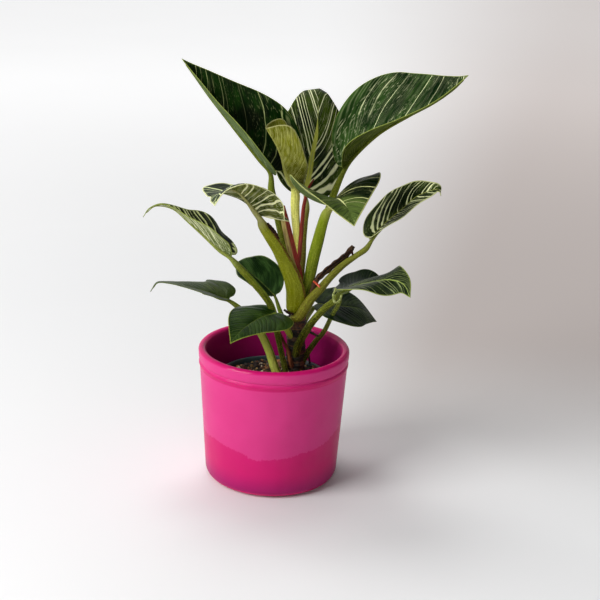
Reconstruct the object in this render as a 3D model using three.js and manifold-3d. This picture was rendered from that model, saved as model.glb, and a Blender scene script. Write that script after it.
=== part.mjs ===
// A philodendron birkin in its nursery pot, stood in a glazed ceramic cover pot.
// Millimetres, +Z up. The origin is the centre of the cover pot's base.

import * as THREE from "three";
import { mergeVertices } from "three/addons/utils/BufferGeometryUtils.js";
import Module from "manifold-3d";

const wasm = await Module();
wasm.setup();

// ---------------------------------------------------------------------------
// Driving dimensions
// ---------------------------------------------------------------------------

const CLEARANCE = 0.35; // gap between pieces that touch
const BLADE_THICKNESS = 0.8;
const BLADE_ROWS = 12; // steps from the base of a blade to its tip
const BLADE_STEPS = 3; // steps from the midrib to a margin
const ROW_POWER = 1.5; // how the rows crowd towards the base along the midrib
const EDGE_WAVE = 0.7; // height of the slow waves along a margin
const RIB_END_RADIUS = 0.8;
const RIB_REACH = 0.68; // share of the blade that the raised midrib runs along
const STALK_SIDES = 6;

const POT_SEGMENTS = 48;
const POT = {
  baseRadius: 53.4,
  cornerRadius: 9,
  lowRadius: 62.4,
  shoulderRadius: 68.6,
  shoulderHeight: 110.5,
  rimRadius: 70,
  crestHeight: 127,
  lipRadius: 3.6,
  floor: 7,
};

const NURSERY_SEGMENTS = 32;
const NURSERY = {
  bottom: POT.floor + CLEARANCE,
  floorThickness: 1.5,
  lowRadius: 38,
  highRadius: 49.2,
  rimRadius: 52,
  rimTop: 97.6,
  rimBottom: 90.5,
  wall: 1.3,
  holes: 6,
  holeRadius: 3.5,
  holeCircle: 25,
};

const SOIL = {
  edgeHeight: 92.6,
  mound: 4.6,
  moundWidth: 17,
  lump: 0.7,
  rings: 6,
  segments: 30,
  crumbs: 26,
  crumbRadius: [0.9, 2.1],
  crumbReach: 44,
  seed: 11,
};

// Outline of a heart-shaped blade: [share of the length, share of the half width],
// from the notch at the petiole round the lobe to the tip.
const HEART = [
  [0, 0.06],
  [-0.085, 0.22],
  [-0.115, 0.5],
  [-0.04, 0.8],
  [0.1, 0.96],
  [0.28, 1],
  [0.48, 0.88],
  [0.67, 0.62],
  [0.82, 0.34],
  [0.93, 0.12],
  [1, 0],
];
// The same with a rounded base in place of the lobe.
const ROUNDED = [
  [0, 0.06],
  [0.015, 0.22],
  [0.05, 0.5],
  [0.11, 0.8],
  [0.19, 0.96],
  [0.32, 1],
  [0.5, 0.88],
  [0.67, 0.62],
  [0.82, 0.34],
  [0.93, 0.12],
  [1, 0],
];
// The same for a half that stays broad almost to the tip, as on a leaf that still unrolls.
const BLUNT = [
  [0, 0.06],
  [-0.02, 0.2],
  [-0.05, 0.38],
  [0, 0.58],
  [0.12, 0.78],
  [0.32, 0.95],
  [0.53, 1.02],
  [0.72, 1.03],
  [0.86, 0.93],
  [0.95, 0.56],
  [1, 0],
];

// The stem runs from its root ball in the soil up to the crown.
const STEM = {
  route: [
    [18, 21, 60],
    [19, 21, 80],
    [20, 20, 99],
    [20, 18, 121],
    [20, 17, 142],
    [21, 17, 155],
    [22, 17, 163],
  ],
  width: [9, 15, 17, 17, 17, 16, 12],
  scarSpacing: 8.5,
  scarHeight: 0.7,
  sides: 10,
  rings: 28,
};

// Short roots that leave the stem in the air.
const AIR_ROOTS = [
  {
    route: [
      [22, 16, 138],
      [29, 13, 138],
      [35, 12, 136],
      [41, 12, 133],
    ],
    width: [3.2, 2.8, 2.4, 2],
  },
  {
    route: [
      [22, 20, 118],
      [28, 25, 115],
      [32, 29, 108],
      [34, 31, 98],
    ],
    width: [3, 2.6, 2.2, 1.8],
  },
  {
    route: [
      [18, 20, 148],
      [12, 25, 147],
      [8, 28, 143],
    ],
    width: [3, 2.6, 1.8],
  },
];

// Each leaf: the midrib from the petiole to the tip, the direction across the blade at both
// ends of it, and for its left and right half the width, the angle at which it rises from the
// midrib at the base and at the tip, how far it turns on the way to the margin, and how deep
// its basal lobe is. Some leaves add how blunt a half is towards its tip (blunt), how much
// narrower near the petiole (neck) or towards the tip (taper), and how much steeper it rises
// at the petiole (funnel). The petiole runs from the stem to the blade.
const LEAVES = [
  {
    name: "leaf_left_tall",
    midrib: [
      [-7, 20, 286],
      [-19, 18, 300],
      [-40, 15, 325],
      [-60, 11, 350],
      [-75, 7, 371],
      [-87, 3, 388],
    ],
    across: [
      [0.52, 0.81, 0.27],
      [0.41, 0.8, 0.44],
    ],
    width: [46, 46],
    fold: [50, 53],
    foldTip: [53, 55],
    curl: [3, 3],
    lobe: [0.2, 0.6],
    petiole: [
      [21, 17, 153],
      [22, 18, 163],
      [18, 19, 180],
      [12, 20, 202],
      [5, 21, 222],
      [0, 21, 241],
      [-4, 20, 258],
      [-7, 20, 270],
    ],
    petioleWidth: [6, 6, 6, 6.2, 6.4, 6.5, 6.5, 6.5],
    shade: 0x24422a,
  },
  {
    name: "leaf_back_striped",
    midrib: [
      [24, 46, 263],
      [27, 50, 280],
      [29, 53, 296],
      [32, 56, 313],
      [33, 60, 329],
      [33, 67, 344],
      [33, 77, 352],
      [34, 89, 352],
      [35, 99, 345],
    ],
    across: [
      [1, 0.35, 0.1],
      [1, 0.1, 0],
    ],
    width: [38, 37],
    fold: [20, 6],
    foldTip: [-12, -34],
    curl: [-10, -22],
    lobe: [0.4, 0.4],
    taper: 0,
    petiole: [
      [21, 18, 151],
      [22, 19, 160],
      [23, 22, 175],
      [23, 25, 191],
      [24, 28, 204],
      [24, 32, 220],
      [25, 37, 238],
      [26, 42, 250],
    ],
    petioleWidth: [6, 6, 6, 5.6, 5.2, 5, 4.8, 4.6],
    shade: 0x31502c,
  },
  {
    name: "leaf_right_tall",
    midrib: [
      [57, 22, 292],
      [73, 18, 314],
      [96, 8, 335],
      [119, -7, 351],
      [140, -26, 369],
      [155, -48, 390],
    ],
    across: [
      [-0.11, -0.95, -0.28],
      [-0.14, -0.79, -0.6],
    ],
    width: [52, 52],
    fold: [10, 27],
    foldTip: [23, 35],
    curl: [42, 7],
    lobe: [0.4, 0],
    neck: [0, 0.4],
    petiole: [
      [21, 18, 152],
      [23, 19, 160],
      [26, 21, 177],
      [31, 23, 199],
      [38, 24, 223],
      [44, 24, 247],
      [50, 23, 268],
    ],
    petioleWidth: [6, 6, 6.4, 6.5, 6.5, 6.5, 6.5],
    shade: 0x24462a,
  },
  {
    name: "leaf_young_folded",
    midrib: [
      [15, 3, 279],
      [11, -2, 284],
      [6, -6, 295],
      [1, -9, 311],
      [-6, -11, 324],
      [-12, -12, 333],
    ],
    across: [
      [0.2, 0.9, -0.2],
      [0.1, 0.9, -0.1],
    ],
    width: [22, 23.5],
    fold: [60, -10],
    foldTip: [64, -15],
    curl: [55, 60],
    curlTip: [40, 65],
    lobe: [0.2, 0],
    blunt: [1.05, 1.9],
    neck: [0.32, 0.3],
    petiole: [
      [21, 17, 157],
      [22, 15, 167],
      [20, 10, 193],
      [18, 8, 210],
      [18, 7, 227],
      [16, 6, 246],
      [15, 5, 261],
      [15, 4, 270],
    ],
    petioleWidth: [6, 6, 6, 6.5, 7, 7.5, 8, 8],
    shade: 0x8c9632,
  },
  {
    name: "leaf_front_right",
    midrib: [
      [46, -6, 264],
      [51, -32, 277],
      [56, -56, 280],
      [61, -77, 278],
      [65, -94, 270],
    ],
    across: [
      [-0.97, 0, -0.22],
      [-0.99, 0.07, 0.12],
    ],
    width: [45, 45],
    fold: [47, 22],
    foldTip: [25, 1],
    curl: [-26, 30],
    lobe: [0.3, 0.3],
    petiole: [
      [22, 17, 150],
      [24, 13, 162],
      [26, 12, 172],
      [30, 8, 189],
      [33, 4, 210],
      [37, 1, 230],
      [40, -2, 245],
      [43, -5, 256],
    ],
    petioleWidth: [8, 8, 9, 10, 11, 10.5, 9.5, 8.5],
    shade: 0x3b5a40,
  },
  {
    name: "leaf_front_left",
    midrib: [
      [-16, -8, 252],
      [-23, -14, 262],
      [-29, -21, 271],
      [-36, -31, 280],
      [-44, -41, 284],
      [-51, -50, 281],
      [-53, -60, 274],
    ],
    across: [
      [-0.01, 0.47, -0.88],
      [0.02, 0.5, -0.87],
    ],
    width: [46, 46],
    fold: [-6, 64],
    foldTip: [-40, 30],
    curl: [-72, 21],
    lobe: [0.9, 0.9],
    petiole: [
      [20, 13, 156],
      [18, 9, 161],
      [19, 7, 169],
      [18, 4, 181],
      [14, 1, 195],
      [8, -2, 208],
      [1, -5, 222],
      [-7, -7, 235],
      [-13, -8, 244],
    ],
    petioleWidth: [12, 16, 19, 18, 16, 14, 12, 11, 9],
    petioleFlat: 0.5,
    shade: 0x5f6f3a,
  },
  {
    name: "leaf_left_mid",
    midrib: [
      [-40, -18, 218],
      [-54, -21, 228],
      [-67, -24, 241.5],
      [-79, -27, 252],
      [-90, -29, 262],
      [-101, -31, 266],
      [-111, -33, 263],
      [-117, -34, 255],
    ],
    across: [
      [0.05, 0.97, -0.22],
      [0.2, 0.97, -0.1],
    ],
    width: [24, 28],
    fold: [28, 28],
    foldTip: [34, 30],
    curl: [10, -10],
    lobe: [0, 0.6],
    taper: 0.8,
    funnel: [-10, 0],
    petiole: [
      [18, 19, 76],
      [14, 15, 87],
      [11, 12, 98],
      [5, 7, 125],
      [2, 2, 141],
      [-2, -6, 163],
      [-8, -10, 176],
      [-20, -14, 192],
      [-33, -17, 207],
    ],
    petioleWidth: [5, 5.2, 5.5, 5.5, 6, 6.4, 6.5, 6.5, 6.5],
    shade: 0x2c4a28,
  },
  {
    name: "leaf_left_low",
    midrib: [
      [-42, 0, 171],
      [-51, -3, 174],
      [-61, -6, 179],
      [-71, -7, 182],
      [-85, -11, 187],
      [-97, -14, 190],
      [-107, -16, 190],
      [-113, -17, 181],
    ],
    across: [
      [-0.21, 0.95, 0.22],
      [-0.25, 0.94, -0.24],
    ],
    width: [26, 30],
    fold: [28, 26],
    foldTip: [-8, -10],
    curl: [-6, -37],
    lobe: [0, 0.8],
    taper: 0.45,
    petiole: [
      [17, 18, 72],
      [9, 14, 84],
      [2, 12, 97],
      [-5, 8, 119],
      [-13, 5, 137],
      [-23, 3, 149],
      [-32, 1, 161],
    ],
    petioleWidth: [7, 8, 8.5, 8, 7.5, 6.5, 5.5],
    petioleFlat: 0.7,
    shade: 0x24482a,
  },
  {
    name: "leaf_low_front",
    midrib: [
      [2, -12, 164],
      [-11, -28, 165],
      [-22, -44, 163],
      [-30, -58, 160],
      [-37, -70, 154],
    ],
    across: [
      [-0.62, 0.78, 0.05],
      [-0.75, 0.6, 0.3],
    ],
    width: [30, 30],
    fold: [2, 12],
    foldTip: [10, 10],
    curl: [-10, -30],
    lobe: [0.3, 0.6],
    petiole: [
      [20, 17, 124],
      [16, 13, 131],
      [12, 6, 140],
      [8, -4, 152],
    ],
    petioleWidth: [6, 6, 6, 6],
    shade: 0x22442a,
  },
  {
    name: "leaf_back_left",
    midrib: [
      [-1, 22, 168],
      [-13, 42, 173],
      [-27, 60, 179],
      [-41, 76, 183],
    ],
    across: [
      [0.89, 0.32, 0.33],
      [0.63, 0.22, 0.74],
    ],
    width: [33, 33],
    fold: [45, 45],
    foldTip: [64, 64],
    curl: [10, 38],
    lobe: [0.7, 0.7],
    petiole: [
      [20, 17, 126],
      [15, 18, 132],
      [10, 20, 141],
      [4, 21, 154],
    ],
    petioleWidth: [4.4, 4.4, 4.2, 4.2],
    shade: 0x1d3a22,
  },
  {
    name: "leaf_right_mid",
    midrib: [
      [84, 0, 233],
      [91, -2, 243],
      [102, -6, 256],
      [111, -9, 265],
      [121, -12, 276],
      [131, -15, 282],
      [140, -17, 285],
      [143, -18, 279],
    ],
    across: [
      [0.18, -0.98, -0.04],
      [0.08, -0.81, -0.58],
    ],
    width: [31, 27],
    fold: [17, 18],
    foldTip: [7, 8],
    curl: [-10, 13],
    lobe: [0.6, 0],
    blunt: [0.1, 0.1],
    funnel: [0, 10],
    petiole: [
      [20, 13, 148],
      [18, 9, 152],
      [22, 5, 154],
      [27, 3, 163],
      [33, 2, 174],
      [41, 1, 184],
      [49, 0, 195],
      [60, 0, 207],
      [71, 0, 216],
      [80, 0, 223],
    ],
    petioleWidth: [8, 9, 10, 11, 9.5, 8.5, 7.5, 6.8, 5.6, 5.2],
    shade: 0x2c4a2c,
  },
  {
    name: "leaf_right_low",
    midrib: [
      [56, -22, 189],
      [66, -32, 197],
      [81, -45, 206],
      [98, -60, 214],
      [110, -75, 215],
      [115, -89, 208],
    ],
    across: [
      [-0.09, -1, 0.01],
      [-0.48, 0.8, -0.36],
    ],
    width: [23, 30],
    fold: [3, 15],
    foldTip: [6, 14],
    curl: [-40, 9],
    lobe: [0, 0],
    blunt: [0.2, 0.05],
    neck: [0.6, 0.6],
    funnel: [0, 20],
    petiole: [
      [19, 17, 106],
      [21, 9, 118],
      [22, 6, 125],
      [27, 0, 139],
      [35, -7, 155],
      [45, -14, 170],
      [53, -19, 179],
    ],
    petioleWidth: [6, 7, 7.5, 7.5, 7, 6.5, 6],
    shade: 0x274a2a,
  },
  {
    name: "leaf_low_right",
    midrib: [
      [39, 28, 160],
      [61, 30, 158],
      [81, 39, 152],
      [97, 51, 136],
    ],
    across: [
      [0.21, -0.97, -0.15],
      [0.15, -0.79, -0.6],
    ],
    width: [31, 31],
    fold: [4, 13],
    foldTip: [-11, -2],
    curl: [-1, -14],
    lobe: [0.65, 0.65],
    petiole: [
      [20, 17, 128],
      [23, 22, 134],
      [27, 25, 142],
      [32, 27, 151],
    ],
    petioleWidth: [5, 5, 5, 5],
    shade: 0x1f3e26,
  },
  {
    name: "leaf_right_back",
    midrib: [
      [60, 6, 179],
      [73, 12, 186],
      [87, 23, 186],
      [101, 38, 181],
    ],
    across: [
      [-0.05, -0.99, 0.12],
      [-0.59, -0.81, 0.04],
    ],
    width: [31, 31],
    fold: [11, 5],
    foldTip: [3, -3],
    curl: [-4, -9],
    lobe: [0.6, 0.6],
    petiole: [
      [21, 19, 96],
      [25, 19, 100],
      [30, 17, 112],
      [38, 14, 127],
      [46, 11, 139],
      [53, 8, 157],
      [58, 7, 167],
    ],
    petioleWidth: [5.5, 5.5, 5.5, 5, 4.5, 4.2, 4],
    shade: 0x21422a,
  },
];

// Cataphylls: the sheaths that each new leaf comes out of. The dry ones stay on the plant.
const SHEATHS = [
  {
    name: "sheath_right",
    route: [
      [21, 15, 160],
      [20, 12, 178],
      [19, 8, 200],
      [20, 6, 211],
      [21, 4, 228],
      [22, 3, 247],
      [23, 3, 261],
      [26, 4, 275],
      [31, 5, 285],
    ],
    width: [4, 4.4, 4.2, 4, 3.8, 3.6, 3.4, 2.8, 1.4],
    flat: 0.4,
    shade: 0x7a1a2c,
  },
  {
    name: "sheath_left",
    route: [
      [21, 16, 160],
      [22, 9, 179],
      [19, 6, 199],
      [15, 5, 212],
      [11, 3, 228],
      [6, 1, 249],
      [5, 0, 261],
    ],
    width: [6, 7, 8, 8.4, 8.4, 7, 3],
    flat: 0.3,
    shade: 0x8c3a3c,
  },
  {
    name: "sheath_dry_upper",
    route: [
      [33, 4, 178],
      [37, 3, 191],
      [45, 2, 200],
      [55, 2, 209],
      [62, 2, 215],
      [69, 2, 225],
    ],
    width: [4.6, 5.4, 5.8, 6, 6, 4.4],
    flat: 0.35,
    shade: 0x3a2418,
  },
  {
    name: "sheath_dry_lower",
    route: [
      [19, 15, 98],
      [16, 10, 106],
      [13, 9, 119],
      [8, 9, 129],
      [3, 8, 141],
    ],
    width: [4, 4, 3.6, 3, 1.6],
    flat: 0.4,
    shade: 0x8a4a22,
  },
];

const SHADE = {
  pot: 0xd81b86,
  nursery: 0x28373c,
  soil: 0x33231b,
  stem: 0x3a2b20,
};

// ---------------------------------------------------------------------------
// Vectors and curves
// ---------------------------------------------------------------------------

const add = (a, b, k = 1) => a.map((value, i) => value + k * b[i]);
const dot = (a, b) => a.reduce((sum, value, i) => sum + value * b[i], 0);
const mix = (a, b, k) => a + (b - a) * k;
const cross = (a, b) => [
  a[1] * b[2] - a[2] * b[1],
  a[2] * b[0] - a[0] * b[2],
  a[0] * b[1] - a[1] * b[0],
];
const scale = (a, k) => a.map((value) => value * k);
const unit = (a) => scale(a, 1 / Math.hypot(...a));
const radians = (degrees) => (degrees * Math.PI) / 180;
const smooth = (x) => x * x * (3 - 2 * x);
const clamp = (x) => Math.min(1, Math.max(0, x));

// `count` points of the Catmull-Rom curve through the given points.
function curve(points, count) {
  const through = points.map((point) => new THREE.Vector3(...point));
  const path = new THREE.CatmullRomCurve3(through, false, "catmullrom", 0.5);
  return Array.from({ length: count }, (_, n) =>
    path.getPoint(n / (count - 1)).toArray(),
  );
}

// The value at x of a list spread evenly over 0 to 1.
function along(list, x) {
  const place = clamp(x) * (list.length - 1);
  const i = Math.min(Math.floor(place), list.length - 2);
  const k = place - i;
  return list[i].map
    ? list[i].map((value, axis) => mix(value, list[i + 1][axis], k))
    : mix(list[i], list[i + 1], k);
}

// A repeatable random number generator, 0 to 1.
function randomFrom(seed) {
  let state = seed;
  return () => {
    state = (state * 1664525 + 1013904223) % 4294967296;
    return state / 4294967296;
  };
}

// ---------------------------------------------------------------------------
// Solids
// ---------------------------------------------------------------------------

// A manifold-3d solid from points and triangles. Triangles with a repeated point are dropped.
function solidOf(points, triangles) {
  const faces = triangles.filter(
    ([a, b, c]) => a !== b && b !== c && a !== c,
  );
  return new wasm.Manifold(
    new wasm.Mesh({
      numProp: 3,
      vertProperties: new Float32Array(points.flat()),
      triVerts: new Uint32Array(faces.flat()),
    }),
  );
}

// The largest body of a solid, so that no loose scrap of a cut stays behind.
function largest(solid) {
  const bodies = solid.decompose();
  return bodies.reduce((a, b) => (a.volume() > b.volume() ? a : b));
}

// Closed rings of the same length, joined in order and capped by a point at each end.
function skin(rings, start, end) {
  const sides = rings[0].length;
  const points = [start, ...rings.flat(), end];
  const last = points.length - 1;
  const at = (ring, side) => 1 + ring * sides + (side % sides);
  const triangles = [];
  for (let side = 0; side < sides; side += 1) {
    triangles.push([0, at(0, side + 1), at(0, side)]);
    triangles.push([
      last,
      at(rings.length - 1, side),
      at(rings.length - 1, side + 1),
    ]);
    for (let ring = 0; ring < rings.length - 1; ring += 1) {
      const [a, b] = [at(ring, side), at(ring, side + 1)];
      const [c, d] = [at(ring + 1, side + 1), at(ring + 1, side)];
      triangles.push([a, b, c], [a, c, d]);
    }
  }
  return solidOf(points, triangles);
}

// A manifold-3d solid from a closed three.js geometry.
function solidFrom(geometry) {
  const bare = geometry.clone();
  bare.deleteAttribute("normal");
  bare.deleteAttribute("uv");
  const merged = mergeVertices(bare, 1e-4);
  const { array } = merged.getAttribute("position");
  const corners = Array.from(merged.getIndex().array);
  const points = [];
  for (let n = 0; n < array.length; n += 3) points.push([...array.slice(n, n + 3)]);
  const triangles = [];
  for (let n = 0; n < corners.length; n += 3) triangles.push(corners.slice(n, n + 3));
  return solidOf(points, triangles);
}

// A solid of revolution about Z, from a profile that starts and ends on the axis.
function turned(profile, segments) {
  const outline = profile.map(([radius, height]) => new THREE.Vector2(radius, height));
  return solidFrom(new THREE.LatheGeometry(outline, segments).rotateX(Math.PI / 2));
}

// A stalk along a sampled route, with a width, a depth and an optional extra skin.
function stalk(centres, halfWidths, halfDepths, sides, grow) {
  const count = centres.length;
  let across = [1, 0, 0];
  const rings = centres.map((centre, n) => {
    const before = centres[Math.max(n - 1, 0)];
    const after = centres[Math.min(n + 1, count - 1)];
    const heading = unit(add(after, before, -1));
    across = unit(add(across, heading, -dot(across, heading)));
    const up = cross(heading, across);
    return Array.from({ length: sides }, (_, k) => {
      const angle = (2 * Math.PI * k) / sides;
      const sideways = (halfWidths[n] + grow) * Math.cos(angle);
      const upwards = (halfDepths[n] + grow) * Math.sin(angle);
      return add(add(centre, across, sideways), up, upwards);
    });
  });
  const reach = (n, other) => {
    const heading = unit(add(centres[n], centres[other], -1));
    return add(centres[n], heading, 0.45 * halfDepths[n] + grow);
  };
  return skin(rings, reach(0, 1), reach(count - 1, count - 2));
}

// A stalk through control points with a list of widths.
function stalkAlong(route, widths, flat, grow, rings, sides = STALK_SIDES) {
  const centres = curve(route, rings);
  const half = centres.map((_, n) => along(widths, n / (rings - 1)) / 2);
  const deep = half.map((value) => Math.max(value * flat, 0.5));
  return stalk(centres, half, deep, sides, grow);
}

// ---------------------------------------------------------------------------
// Leaves
// ---------------------------------------------------------------------------

// The midrib of a leaf as a function of the distance along it: a point on it, the direction
// across the blade and the normal of the upper side.
function midribOf(leaf) {
  const points = curve(leaf.midrib, 120);
  const travelled = [0];
  for (let n = 1; n < points.length; n += 1) {
    const step = Math.hypot(...add(points[n], points[n - 1], -1));
    travelled.push(travelled[n - 1] + step);
  }
  const length = travelled.at(-1);
  const pointAt = (distance) => {
    const wanted = Math.min(Math.max(distance, 0), length);
    let n = 1;
    while (n < points.length - 1 && travelled[n] < wanted) n += 1;
    const span = travelled[n] - travelled[n - 1];
    const share = (wanted - travelled[n - 1]) / span;
    return points[n - 1].map((value, k) => mix(value, points[n][k], share));
  };
  const frameAt = (distance) => {
    const near = 0.03 * length;
    const [from, to] = distance <= 0 ? [0, 2 * near] : [distance - near, distance + near];
    const heading = unit(add(pointAt(to), pointAt(from), -1));
    const over = Math.min(distance, 0);
    const raw = along(leaf.across, distance / length);
    const sideways = unit(add(raw, heading, -dot(raw, heading)));
    return {
      point: add(pointAt(distance), heading, over),
      sideways,
      normal: cross(sideways, heading),
    };
  };
  return { length, frameAt };
}

// How far the side veins bow, as a share of the length: back towards the petiole in the
// basal lobes, and towards the tip further up.
function veinSweep(row) {
  const lobes = 0.05 * (row / 0.1) * Math.exp(1 - row / 0.1);
  return lobes - 0.05 * Math.sin(Math.PI * row) * smooth(clamp(row / 0.3));
}

// The point of the blade's upper side at `row` (0 base to 1 tip) and `reach` (0 midrib to
// 1 margin) on one side. Rows follow the side veins, which leave the midrib and sweep round.
function bladePoint(leaf, midrib, side, row, reach) {
  const { length, frameAt } = midrib;
  const taper = leaf.taper ?? 0.1;
  const heart = along(HEART_CURVE, row);
  const rounded = along(ROUNDED_CURVE, row);
  const broad = along(BLUNT_CURVE, row);
  const blunt = leaf.blunt?.[side] ?? 0;
  const neck = leaf.neck?.[side] ?? 0;
  const pointed = mix(rounded[0], heart[0], leaf.lobe[side]);
  const edgeShare = mix(pointed, broad[0], blunt);
  const edgeAlong = edgeShare * length;
  const tapered = 1 - taper * smooth(clamp((edgeShare - 0.3) / 0.45));
  const necked = 1 - neck * (1 - smooth(clamp(edgeShare / 0.35)));
  const edgeOut =
    Math.max(mix(heart[1], broad[1], blunt), 0) * leaf.width[side] * tapered * necked;
  const start = row ** ROW_POWER * length;
  const bend = (start + edgeAlong) / 2 + veinSweep(row) * length;
  const rest = 1 - reach;
  const distance =
    rest * rest * start + 2 * reach * rest * bend + reach * reach * edgeAlong;
  const out = reach * rest * edgeOut + reach * reach * edgeOut;
  const share = clamp(distance / length);
  const funnel = (leaf.funnel ?? [0, 0])[side] * Math.exp(-share / 0.13);
  const curlTip = (leaf.curlTip ?? leaf.curl)[side];
  const rise = radians(mix(leaf.fold[side], leaf.foldTip[side], share) + funnel);
  const turn = radians(mix(leaf.curl[side], curlTip, share)) || 1e-5;
  const radius = leaf.width[side] / turn;
  const angle = rise + (turn * out) / leaf.width[side];
  const sideways = radius * (Math.sin(angle) - Math.sin(rise));
  const upwards = radius * (Math.cos(rise) - Math.cos(angle));
  const wave =
    EDGE_WAVE *
    (out / leaf.width[side]) ** 2 *
    Math.sin(2 * Math.PI * (3 * row + 0.37 * side + leaf.phase));
  const frame = frameAt(distance);
  const sign = side === 0 ? -1 : 1;
  const moved = add(frame.point, frame.sideways, sign * sideways);
  return add(moved, frame.normal, upwards + wave);
}

const HEART_CURVE = curve(HEART, 80);
const ROUNDED_CURVE = curve(ROUNDED, 80);
const BLUNT_CURVE = curve(BLUNT, 80);

// The blade as a sheet of even thickness. Both faces are split into triangles alike.
function bladeOf(leaf, midrib) {
  const columns = 2 * BLADE_STEPS + 1;
  const upper = [];
  const frames = []; // the midrib's frame for each point
  for (let row = 0; row < BLADE_ROWS; row += 1) {
    for (let column = 0; column < columns; column += 1) {
      const offset = column - BLADE_STEPS;
      const side = offset < 0 ? 0 : 1;
      const reach = Math.abs(offset) / BLADE_STEPS;
      frames.push(midrib.frameAt((row / BLADE_ROWS) ** ROW_POWER * midrib.length));
      upper.push(bladePoint(leaf, midrib, side, row / BLADE_ROWS, reach));
    }
  }
  upper.push(bladePoint(leaf, midrib, 0, 1, 0));
  frames.push(midrib.frameAt(midrib.length));
  const tip = upper.length - 1;
  const at = (row, column) =>
    row === BLADE_ROWS ? tip : row * columns + column;

  const sheet = [];
  for (let row = 0; row < BLADE_ROWS; row += 1) {
    for (let column = 0; column < columns - 1; column += 1) {
      const [a, b] = [at(row, column), at(row, column + 1)];
      const [c, d] = [at(row + 1, column + 1), at(row + 1, column)];
      const split = column < BLADE_STEPS;
      sheet.push(...(split ? [[a, b, d], [b, c, d]] : [[a, b, c], [a, c, d]]));
    }
  }
  const whole = sheet.filter(([a, b, c]) => a !== b && b !== c && a !== c);
  const normals = upper.map(() => [0, 0, 0]);
  for (const [a, b, c] of whole) {
    const face = unit(
      cross(add(upper[b], upper[a], -1), add(upper[c], upper[a], -1)),
    );
    for (const corner of [a, b, c]) {
      normals[corner] = add(normals[corner], face);
    }
  }
  // Near the midrib the two halves share one direction, so that the lower face doesn't cross.
  const lower = upper.map((point, n) => {
    const away = Math.hypot(...add(point, frames[n].point, -1));
    const share = n < columns ? 1 : Math.exp(-away / (3 * BLADE_THICKNESS));
    const direction = add(scale(unit(normals[n]), 1 - share), frames[n].normal, share);
    return add(point, unit(direction), -BLADE_THICKNESS);
  });

  const below = upper.length;
  const triangles = whole.flatMap(([a, b, c]) => [
    [a, b, c],
    [a + below, c + below, b + below],
  ]);
  const wall = (from, to) => {
    triangles.push([to, from, from + below], [to, from + below, to + below]);
  };
  for (let column = 0; column < columns - 1; column += 1) {
    wall(at(0, column), at(0, column + 1));
  }
  for (let row = 0; row < BLADE_ROWS; row += 1) {
    wall(at(row + 1, 0), at(row, 0));
    wall(at(row, columns - 1), at(row + 1, columns - 1));
  }
  return solidOf([...upper, ...lower], triangles);
}

// The petiole and, as one stalk with it, the rib that it runs on into under the blade.
function petioleOf(leaf, midrib, grow, ribbed = true) {
  const flat = leaf.petioleFlat ?? 0.85;
  const topHalf = leaf.petioleWidth.at(-1) / 2;
  const stations = ribbed ? [0, 0.12, 0.3, 0.5, RIB_REACH] : [0];
  const ribPoints = stations.map((share) => {
    const frame = midrib.frameAt(share * midrib.length);
    const extra = Math.max(0.62 * topHalf - RIB_END_RADIUS, 0);
    const half = RIB_END_RADIUS + extra * (1 - share / RIB_REACH) ** 2;
    return { centre: add(frame.point, frame.normal, -half - 0.3), half };
  });
  const route = [...leaf.petiole, ...ribPoints.map((rib) => rib.centre)];
  const halves = [
    ...leaf.petioleWidth.map((width) => width / 2),
    ...ribPoints.map((rib) => rib.half),
  ];
  const rings = Math.round(route.length * 1.4);
  const lastFlat = leaf.petiole.length - 1;
  const centres = curve(route, rings);
  const half = centres.map((_, n) => along(halves, n / (rings - 1)));
  const deep = half.map((value, n) => {
    const place = (n / (rings - 1)) * (route.length - 1);
    const rounding = clamp((place - lastFlat + 2) / 2);
    return value * mix(flat, 1, rounding);
  });
  return stalk(centres, half, deep, STALK_SIDES, grow);
}

// ---------------------------------------------------------------------------
// The pieces
// ---------------------------------------------------------------------------

function coverPot() {
  const p = POT;
  const corner = [];
  for (let k = 0; k <= 4; k += 1) {
    const angle = radians(-90 + (k * 90) / 4);
    corner.push([
      p.baseRadius + p.cornerRadius * Math.cos(angle),
      p.cornerRadius + p.cornerRadius * Math.sin(angle),
    ]);
  }
  const lip = [];
  const lipRadius = p.rimRadius - p.lipRadius;
  for (let k = 0; k <= 6; k += 1) {
    const angle = radians((k * 180) / 6);
    lip.push([
      lipRadius + p.lipRadius * Math.cos(angle),
      p.crestHeight - p.lipRadius + p.lipRadius * Math.sin(angle),
    ]);
  }
  return turned(
    [
      [0, 0],
      ...corner,
      [p.shoulderRadius, p.shoulderHeight],
      [p.shoulderRadius + 0.7, p.shoulderHeight + 1.2],
      [p.shoulderRadius + 0.6, p.shoulderHeight + 3],
      [p.shoulderRadius - 0.3, p.shoulderHeight + 4.4],
      [p.shoulderRadius + 0.5, p.shoulderHeight + 5.8],
      [p.rimRadius - 0.2, p.crestHeight - 8],
      ...lip,
      [61.6, 114],
      [55.4, 16],
      [52.6, 9.2],
      [46, p.floor],
      [0, p.floor],
    ],
    POT_SEGMENTS,
  );
}

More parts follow.
